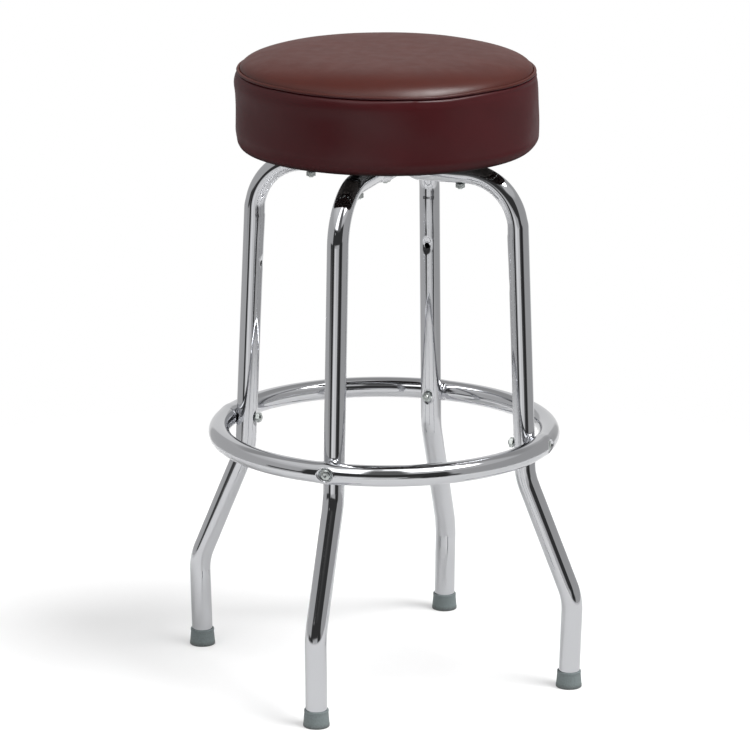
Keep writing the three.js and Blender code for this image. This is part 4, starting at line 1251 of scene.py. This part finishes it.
# %% The pad's section
SEAT_RADIUS = 361.5 / 2
BOARD_RADIUS = SEAT_RADIUS - 16.5
WELT_LEVEL = BOARD_TOP + 79.5
CROWN = 23.3
DRAWN_IN, DRAW_RUN = 4.65, 14.0
WELT_RADIUS = SEAT_RADIUS - DRAWN_IN
PANEL_RADIUS = WELT_RADIUS - 1.8
PANEL_END = 1.0
UNDERSIDE = BOARD_BOTTOM - 1.5
ROLL = 15.4
BAND_END = WELT_LEVEL - 2.3
CROWN_POWER, CROWN_REACH = 5.4, 0.983


def crown_height(radius):
    """Height of the crown over the welt: end + (crown - end) * (f(r) - f(R)) / (1 - f(R)), where
    f = square root of 1 - (0.983 r / R)^5.4, so that the panel still slopes where it meets the welt."""
    share = CROWN_REACH * np.clip(np.asarray(radius, float) / PANEL_RADIUS, 0, 1)
    fall, end = np.sqrt(1 - share**CROWN_POWER), math.sqrt(1 - CROWN_REACH**CROWN_POWER)
    return PANEL_END + (CROWN - PANEL_END) * (fall - end) / (1 - end)


def side_line():
    """The band's section from the roll under the board up to the seam: arc, straight, draw-in."""
    angles = np.linspace(math.pi / 2, 0, 16)
    roll_in, roll_up = SEAT_RADIUS - ROLL, UNDERSIDE + ROLL
    arc = [(roll_in + ROLL * math.cos(angle), roll_up - ROLL * math.sin(angle)) for angle in angles]
    straight = [(SEAT_RADIUS, z) for z in np.linspace(roll_up, BAND_END - DRAW_RUN, 20)[1:]]
    draw = []
    for share in np.linspace(0, 1, 12)[1:]:
        drawn = DRAWN_IN * (1 - math.sqrt(1 - share**2.2))
        draw.append((SEAT_RADIUS - drawn, BAND_END - DRAW_RUN * (1 - share)))
    return arc + straight + draw


def crown_line():
    """The top panel's section from the seam to the middle, closer together where it turns down."""
    radii = PANEL_RADIUS * np.sin(np.linspace(math.pi / 2, 0, 60))
    line = list(zip(radii, WELT_LEVEL + crown_height(radii)))
    line[-1] = (0.0, WELT_LEVEL + CROWN)
    return line


print("pad is", round(2 * SEAT_RADIUS, 1), "mm across, its seam at", round(WELT_LEVEL, 1))

# %% The pad swelled by cloth pressure
CORE_RADIUS, CORE_HEIGHT = 100.0, 696.0
SMALLER = 3.0
VOXEL = 5.0
# The cloth is held beyond a radius where it is this near the seam, and this near the underside.
HELD_BEYOND, HELD_SEAM, HELD_UNDER = 165.0, 4.5, 9.0
SWELL_FRAMES = 20


def smaller_section():
    """The pad's section drawn in towards its core by 3 mm."""
    section = [(0.0, UNDERSIDE + 1.0)] + side_line() + crown_line()
    shrunk = []
    for radius, height in section:
        middle = np.array([min(radius, CORE_RADIUS), CORE_HEIGHT])
        away = np.array([radius, height]) - middle
        length = np.hypot(*away)
        shrunk.append(middle + away * (length - SMALLER) / length if length > 5 else (radius, height))
    shrunk[0], shrunk[-1] = (0.0, UNDERSIDE + 3.0), (0.0, shrunk[-2][1])
    return shrunk


def points_of(mesh):
    """A mesh's points in millimetres."""
    flat = np.zeros(len(mesh.vertices) * 3)
    mesh.vertices.foreach_get("co", flat)
    return flat.reshape(-1, 3) / MM


def swollen_pad():
    """A slightly smaller closed pad, remeshed and swelled by cloth pressure, as a tree to measure against."""
    blob = new_object("pad_for_swelling", *turned(smaller_section(), 96))
    remesh = blob.modifiers.new("even_mesh", "REMESH")
    remesh.mode = "VOXEL"
    remesh.voxel_size = VOXEL * MM
    settled = bpy.data.meshes.new_from_object(blob.evaluated_get(bpy.context.evaluated_depsgraph_get()))
    blob.modifiers.clear()
    blob.data = settled
    x, y, z = points_of(settled).T
    seam = (np.hypot(x, y) > HELD_BEYOND) & (abs(z - WELT_LEVEL + 2) < HELD_SEAM)
    held = blob.vertex_groups.new(name="held")
    held.add(np.flatnonzero(seam | (z < UNDERSIDE + HELD_UNDER)).tolist(), 1.0, "REPLACE")
    cloth = blob.modifiers.new("swelling", "CLOTH")
    settings = cloth.settings
    settings.quality = 6
    settings.mass = 0.35
    settings.tension_stiffness = 22
    settings.compression_stiffness = 22
    settings.shear_stiffness = 12
    settings.bending_stiffness = 1.2
    settings.use_pressure = True
    settings.uniform_pressure_force = 4.0
    settings.vertex_group_mass = "held"
    settings.effector_weights.gravity = 0.0
    cloth.point_cache.frame_start = 1
    cloth.point_cache.frame_end = SWELL_FRAMES
    for frame_number in range(1, SWELL_FRAMES + 1):
        bpy.context.scene.frame_set(frame_number)
    swollen = blob.evaluated_get(bpy.context.evaluated_depsgraph_get()).to_mesh()
    corners = points_of(swollen)
    polygons = [tuple(polygon.vertices) for polygon in swollen.polygons]
    bpy.data.objects.remove(blob)
    bpy.context.scene.frame_set(1)
    return BVHTree.FromPolygons(corners.tolist(), polygons)


# %% [markdown]
# The swelling is measured along rays from the pad's core. The pad as a whole keeps its drawn section,
# and only what differs from turn to turn is taken over, calmed so that no single voxel shows. Casting a
# ray is the one step that Blender does point by point.

# %% Measuring the swelling
# Even turns round the pad, and the windows of the average in turns and in rows.
AROUND, AROUND_WINDOW, ACROSS_WINDOW = 240, 21, 9


def swelling(points, pad_tree):
    """How far the swollen pad stands out past each point, along the ray from the pad's core through it."""
    offsets, rays = np.zeros(len(points)), np.zeros((len(points), 3))
    for i, (x, y, z) in enumerate(points):
        radius = math.hypot(x, y)
        core = min(radius, CORE_RADIUS) / max(radius, 1e-6)
        start = Vector((x * core, y * core, CORE_HEIGHT))
        ray = Vector((x, y, z)) - start
        reach = ray.length
        ray.normalize()
        hit = pad_tree.ray_cast(start, ray)
        if hit[0] is not None:
            offsets[i] = (hit[0] - start).length - reach
        rays[i] = ray
    return offsets, rays


def calmed(values, turns):
    """Values on the pad's rows and turns, averaged over their neighbours with a Hann window both ways. The
    rows are brought to even turns for this and back again. The two poles get 0."""
    even = np.linspace(0, 2 * np.pi, AROUND, endpoint=False)
    grid = values[1:-1].reshape(-1, len(turns))
    grid = np.array([np.interp(even, turns, row, period=2 * np.pi) for row in grid])
    around, across = np.hanning(AROUND_WINDOW + 2)[1:-1], np.hanning(ACROSS_WINDOW + 2)[1:-1]
    beyond, above = AROUND_WINDOW // 2, ACROSS_WINDOW // 2
    wrapped = np.concatenate([grid[:, -beyond:], grid, grid[:, :beyond]], axis=1)
    grid = np.array([np.convolve(row, around / around.sum(), "valid") for row in wrapped])
    padded = np.pad(grid, ((above, above), (0, 0)), mode="edge")
    grid = np.array([np.convolve(column, across / across.sum(), "valid") for column in padded.T]).T
    grid = np.array([np.interp(turns, even, row, period=2 * np.pi) for row in grid])
    return np.concatenate([[0.0], grid.ravel(), [0.0]])


# %% The padded seat's grid
SEAM_TURN = math.radians(118)
SEAM_STEPS = np.arange(-6, 6.01, 0.6)
TURN_IN = 20.0


def seat_turns():
    """Turns of the pad's sections: even all round, and close together at the band's own seam at the back."""
    even = np.linspace(0, 2 * np.pi, AROUND, endpoint=False)
    away = abs(turn_from(even, SEAM_TURN)) * SEAT_RADIUS
    return np.sort(np.concatenate([even[away > 7.5], SEAM_TURN + SEAM_STEPS / SEAT_RADIUS]))


over_board, under_board, edge = BOARD_TOP + 0.3, UNDERSIDE + 1.2, BOARD_RADIUS + 0.3
cut = BOARD_RADIUS - TURN_IN
pad_line = [(0.0, over_board), (edge, over_board), (edge, under_board), (cut, under_board)]
pad_line += [(cut - 0.4, UNDERSIDE + 0.6), (cut, UNDERSIDE)]
pad_line += [(radius, UNDERSIDE) for radius in np.linspace(cut + 1.5, SEAT_RADIUS - ROLL - 1, 14)]
first_side = len(pad_line)
pad_line += side_line()
pad_line += [(WELT_RADIUS - 0.9, WELT_LEVEL - 2.0), (WELT_RADIUS - 1.9, WELT_LEVEL - 1.4)]
pad_line += crown_line()
pad_turns = seat_turns()
pad_points, pad_faces = turned(pad_line, turns=pad_turns)
outside = np.arange(len(pad_points)) > (first_side - 1) * len(pad_turns)
print("pad grid:", len(pad_line), "rows of", len(pad_turns), "points")

SWELL_SHARE, SWELL_LIMIT = 0.6, 0.6
row_radius, row_height = np.hypot(pad_points[:, 0], pad_points[:, 1]), pad_points[:, 2]
on_crown = row_height > WELT_LEVEL + 0.05
on_band = (row_radius > SEAT_RADIUS - ROLL) & (row_height < WELT_LEVEL - 2)
off_roll = smoothstep(UNDERSIDE + 4, UNDERSIDE + 14, row_height)
off_seam = smoothstep(1, 6, WELT_LEVEL - 2 - row_height)
off_welt = smoothstep(0.5, 7, row_height - WELT_LEVEL)
free = np.maximum(on_crown * off_welt, on_band * off_roll * off_seam)
swell, rays = swelling(pad_points, swollen_pad())
rows = np.round(np.stack([row_radius, row_height], axis=1), 3)
_, row_of = np.unique(rows, axis=0, return_inverse=True)
row_of = row_of.ravel()
row_mean = np.bincount(row_of, swell) / np.bincount(row_of)
uneven = calmed(swell - row_mean[row_of], pad_turns)
taken = np.clip(SWELL_SHARE * uneven, -SWELL_LIMIT, SWELL_LIMIT) * free
pad_points = pad_points + rays * taken[:, None]
print("swelling:", round(float(swell[free > 0.5].mean()), 2), "mm")
print("uneven by", round(float(uneven[free > 0.5].std()), 2), "mm")

# %% [markdown]
# The band isn't a perfect drum. It stands out just under the seam on one side, where the cloth was
# pulled harder, and leans in towards the seam on the other. Waves and the band's own seam are added to
# that. All of it is a sum of smooth bumps over turn and height, which stays easy to read and to change.

# %% The band's unevenness
# The sides that the camera sees at its left and at its right.
LEFT_SIDE, RIGHT_SIDE = math.radians(199), math.radians(19)
BELLY, HOLLOW, LEAN = 1.1, 0.9, 1.9
LONG_WAVE, SHORT_WAVE = 0.28, 0.2
STITCH_DEPTH, STITCH_LIP = 1.0, 0.25
ROLLED_IN = 2.1


def fullness(turns, middle):
    """1 on the middle turn, 0 on the opposite one, and drawn together by a third power."""
    return (0.5 + 0.5 * np.cos(turns - middle)) ** 3


def band_shift(turns, heights):
    """How far the band stands out: belly and hollow on the left, lean on the right, a long and a short
    wave, and the groove of its own seam between two low lips."""
    below = BAND_END - heights
    left = fullness(turns, LEFT_SIDE) * (BELLY * bell(below, 15, 8) - HOLLOW * bell(below, 40, 16))
    leaning = LEAN * fullness(turns, RIGHT_SIDE) * bell(below, 0, 26) * smoothstep(0.5, 6, below)
    waves = LONG_WAVE * np.sin(7 * turns + 0.11 * heights) + SHORT_WAVE * np.sin(13 * turns - 0.06 * heights)
    from_seam = turn_from(turns, SEAM_TURN) * SEAT_RADIUS
    stitched = STITCH_LIP * bell(abs(from_seam), 2.4, 1.2) - STITCH_DEPTH * bell(from_seam, 0, 0.8)
    return left - leaning + waves + stitched


x, y, z = pad_points.T
pad_radius, pad_turn = np.hypot(x, y), np.arctan2(y, x)
banded = (pad_radius > SEAT_RADIUS - ROLL) & (z < BAND_END - 0.1)
weight = banded * smoothstep(UNDERSIDE, UNDERSIDE + 10, z) * smoothstep(0.0, 3.0, BAND_END - z)
near_roll = smoothstep(UNDERSIDE + 24, UNDERSIDE + 9, z) * smoothstep(UNDERSIDE, UNDERSIDE + 6, z)
rolled = ROLLED_IN * fullness(pad_turn, LEFT_SIDE) * near_roll * outside
shift = band_shift(pad_turn, z) * weight - rolled
x, y = x + np.cos(pad_turn) * shift, y + np.sin(pad_turn) * shift
print("band stands out by", round(float(shift.min()), 2), "to", round(float(shift.max()), 2), "mm")

# %% [markdown]
# The seam isn't level either. It hangs down a little on the side that faces the camera, and there the
# welt is slimmer and the panel meets it lower. The whole cover sits a touch off the axis, the band more
# than the welt. Under the board the cloth is gathered in pleats, which is how a flat strip turns in to
# a smaller circle.

# %% Seam, cover and pleats
FRONT_TURN = camera_azimuth - math.pi / 2
COVER_OFFSET, WELT_OFFSET, PANEL_OFFSET = 1.8, 0.75, 0.75
WELT_THICK, WELT_SLIMMER = 2.0, 0.4
FULLER_POWER = 4.7
# Where the panel meets the welt, as shares of the cord's radius, and how far the droop reaches.
MEETS_IN, MEETS_UP = 0.73, 0.68
DROOP_ABOVE, DROOP_BELOW = 12, 30
# Parts of the droop: depth, and middle and width in degrees.
DROOPS = [(0.9, -2, 20), (1.3, 20, 11), (-0.5, 43, 7), (-0.5, -44, 7)]
PLEATS, PLEAT_DEPTH = 58, 0.75


def seam_droop(facing):
    """How far the seam hangs down at an angle from the side that faces the camera, as a sum of bells."""
    return sum(depth * bell(np.degrees(facing), middle, width) for depth, middle, width in DROOPS)


def cord_size(facing):
    """Radius of the welt: 2 mm, and slimmer where the seam hangs down."""
    return WELT_THICK - WELT_SLIMMER * bell(np.degrees(facing), 17, 24)


facing = turn_from(pad_turn, FRONT_TURN)
in_front = bell(facing, 0, 1)
on_panel = outside & (z > WELT_LEVEL + 0.5)
shoulder = smoothstep(0.82 * PANEL_RADIUS, 0.98 * PANEL_RADIUS, pad_radius)
fuller = np.sqrt(1 - np.clip(pad_radius / PANEL_RADIUS, 0, 1) ** FULLER_POWER)
z = z + (WELT_LEVEL + CROWN * fuller - z) * (1 - in_front) * on_panel * shoulder
near_end = smoothstep(0.9 * PANEL_RADIUS, PANEL_RADIUS, pad_radius) * on_panel * in_front
cord = cord_size(facing)
outwards = near_end * (WELT_RADIUS - MEETS_IN * cord - PANEL_RADIUS)
x, y = x + np.cos(pad_turn) * outwards, y + np.sin(pad_turn) * outwards
z = z + near_end * (MEETS_UP * cord - PANEL_END)
from_seam = np.where(on_panel, (z - WELT_LEVEL) / DROOP_ABOVE, (WELT_LEVEL - z) / DROOP_BELOW)
z = z - seam_droop(facing) * (1 - smoothstep(0, 1, from_seam)) * outside
band_offset = COVER_OFFSET + (WELT_OFFSET - COVER_OFFSET) * smoothstep(-26, -2, z - WELT_LEVEL)
pulled = np.where(on_panel, PANEL_OFFSET, band_offset)
pulled = pulled * smoothstep(UNDERSIDE + 3, UNDERSIDE + 15, z) * outside
x, y = x + pulled * math.cos(camera_azimuth), y + pulled * math.sin(camera_azimuth)

pleat = 0.5 + 0.5 * np.sin(PLEATS * pad_turn + 0.9 * np.sin(5 * pad_turn) + 0.5 * np.sin(11 * pad_turn))
gathered = (z < UNDERSIDE + 0.3) * (1 - smoothstep(BOARD_RADIUS - 12, SEAT_RADIUS - 6, pad_radius))
z = z - PLEAT_DEPTH * pleat**2 * gathered
pad = make_piece("seat_pad", np.stack([x, y, z], axis=1), pad_faces, "seat", [maroon_vinyl])
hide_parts("seat_foam", "seat_top_panel", "seat_side_band")
print("seat pad:", len(pad_faces), "faces")

# %% [markdown]
# The welt is a thin strip of the same cloth sewn round a cord. It is a ring of small sections that
# follows the drooping seam, with a low lap at the back where its ends meet. Blender's bevelled curve
# would give an even cord, while this one can grow slimmer and waver as the real one does.

# %% Welt
WELT_SIDES = 20
LAP_RISE, LAP_HALF, WAVER = 0.25, 3.5, 0.05


def welt_skin():
    """Section x side x 3 array of the welt: (R + sin * size) out and cos * size up from the seam, where the
    size is the cord's, with a lap and two small waves."""
    turns = pad_turns[:, None]
    angle = (2 * np.pi * np.arange(WELT_SIDES) / WELT_SIDES)[None, :]
    facing = turn_from(turns, FRONT_TURN)
    size = cord_size(facing) + LAP_RISE * bell(turn_from(turns, SEAM_TURN) * WELT_RADIUS, 0, LAP_HALF)
    size = size + WAVER * np.sin(31 * turns) + WAVER * np.sin(47 * turns + 1)
    distance = WELT_RADIUS + np.sin(angle) * size
    height = WELT_LEVEL - seam_droop(facing) + np.cos(angle) * size
    x = distance * np.cos(turns) + WELT_OFFSET * math.cos(camera_azimuth)
    y = distance * np.sin(turns) + WELT_OFFSET * math.sin(camera_azimuth)
    return np.stack([x, y, height], axis=-1)


welt_points = welt_skin()
welt_faces = skin_faces(len(welt_points), WELT_SIDES, loop=True)
welt = make_piece("seat_welt_cord", welt_points.reshape(-1, 3), welt_faces, "seat", [maroon_vinyl])
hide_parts("seat_welt")
print("welt:", len(welt_faces), "faces")

# %% [markdown]
# Wire staples hold the cover under the board. A hand tool sets them, so that each is a little off in
# turn, tilt and depth. One short path is swept by a flat oval, and the copies differ by random draws
# from a fixed seed.

# %% Staples
STAPLES = 46
STAPLE_SIDES = 8
WIRE_THICK, WIRE_WIDE = 0.28, 0.6
STAPLE_END = [(-5.0, 1.6), (-5.0, 0.5), (-4.6, 0.05), (-4.0, 0.0)]
STAPLE_PATH = STAPLE_END + [(-along, rise) for along, rise in STAPLE_END[::-1]]
# How far a staple sits inside the board's edge and under the cloth.
STAPLE_IN, STAPLE_UNDER = 14.0, 0.62


def staple(turn, tilt):
    """A wire staple under the board: its path, 10 mm long with ends up in the wood, plus an oval square to
    it: point = path + (-run z, run x) * thick sin, and wide cos out of the path's plane."""
    path = np.array(STAPLE_PATH)
    ends = np.concatenate([path[:1], path, path[-1:]])
    run = ends[2:] - ends[:-2]
    run = run / np.hypot(*run.T)[:, None]
    angle = 2 * np.pi * np.arange(STAPLE_SIDES) / STAPLE_SIDES
    thick, wide = WIRE_THICK * np.sin(angle), WIRE_WIDE * np.cos(angle)
    along, rise = path[:, :1] - run[:, 1:] * thick, path[:, 1:] + run[:, :1] * thick
    points = np.stack([wide + 0 * along, along, rise], axis=-1).reshape(-1, 3)
    return spun(spun(points, tilt) + [BOARD_RADIUS - STAPLE_IN, 0, UNDERSIDE - STAPLE_UNDER], turn)


rng = np.random.default_rng(7)
staple_points, staple_faces = [], []
one_skin = skin_faces(len(STAPLE_PATH), STAPLE_SIDES)
for i in range(STAPLES):
    turn = 2 * math.pi * (i + 0.25 * rng.random()) / STAPLES
    staple_faces.append(one_skin + len(STAPLE_PATH) * STAPLE_SIDES * i)
    staple_points.append(staple(turn, rng.normal(0, 0.18)) + [0, 0, rng.normal(0, 0.06)])
staples = make_piece(
    "board_staples", np.concatenate(staple_points), np.concatenate(staple_faces), "seat", [zinc]
)
print("staples:", STAPLES)

# %% [markdown]
# ## The solids that stay
#
# The seat board, the ball cage and the tee nuts are fine enough as they come, so they keep their
# solids and only get their finishes.

# %% Finishes of the solids that stay
kept_solids = {"seat_board": plywood, "ball_cage": bearing_steel}
kept_solids.update({f"tee_nut_{name}": zinc for name in LEG_NAMES})
for node, finish in kept_solids.items():
    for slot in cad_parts[node].material_slots:
        slot.material = finish
print("solids kept:", ", ".join(kept_solids))
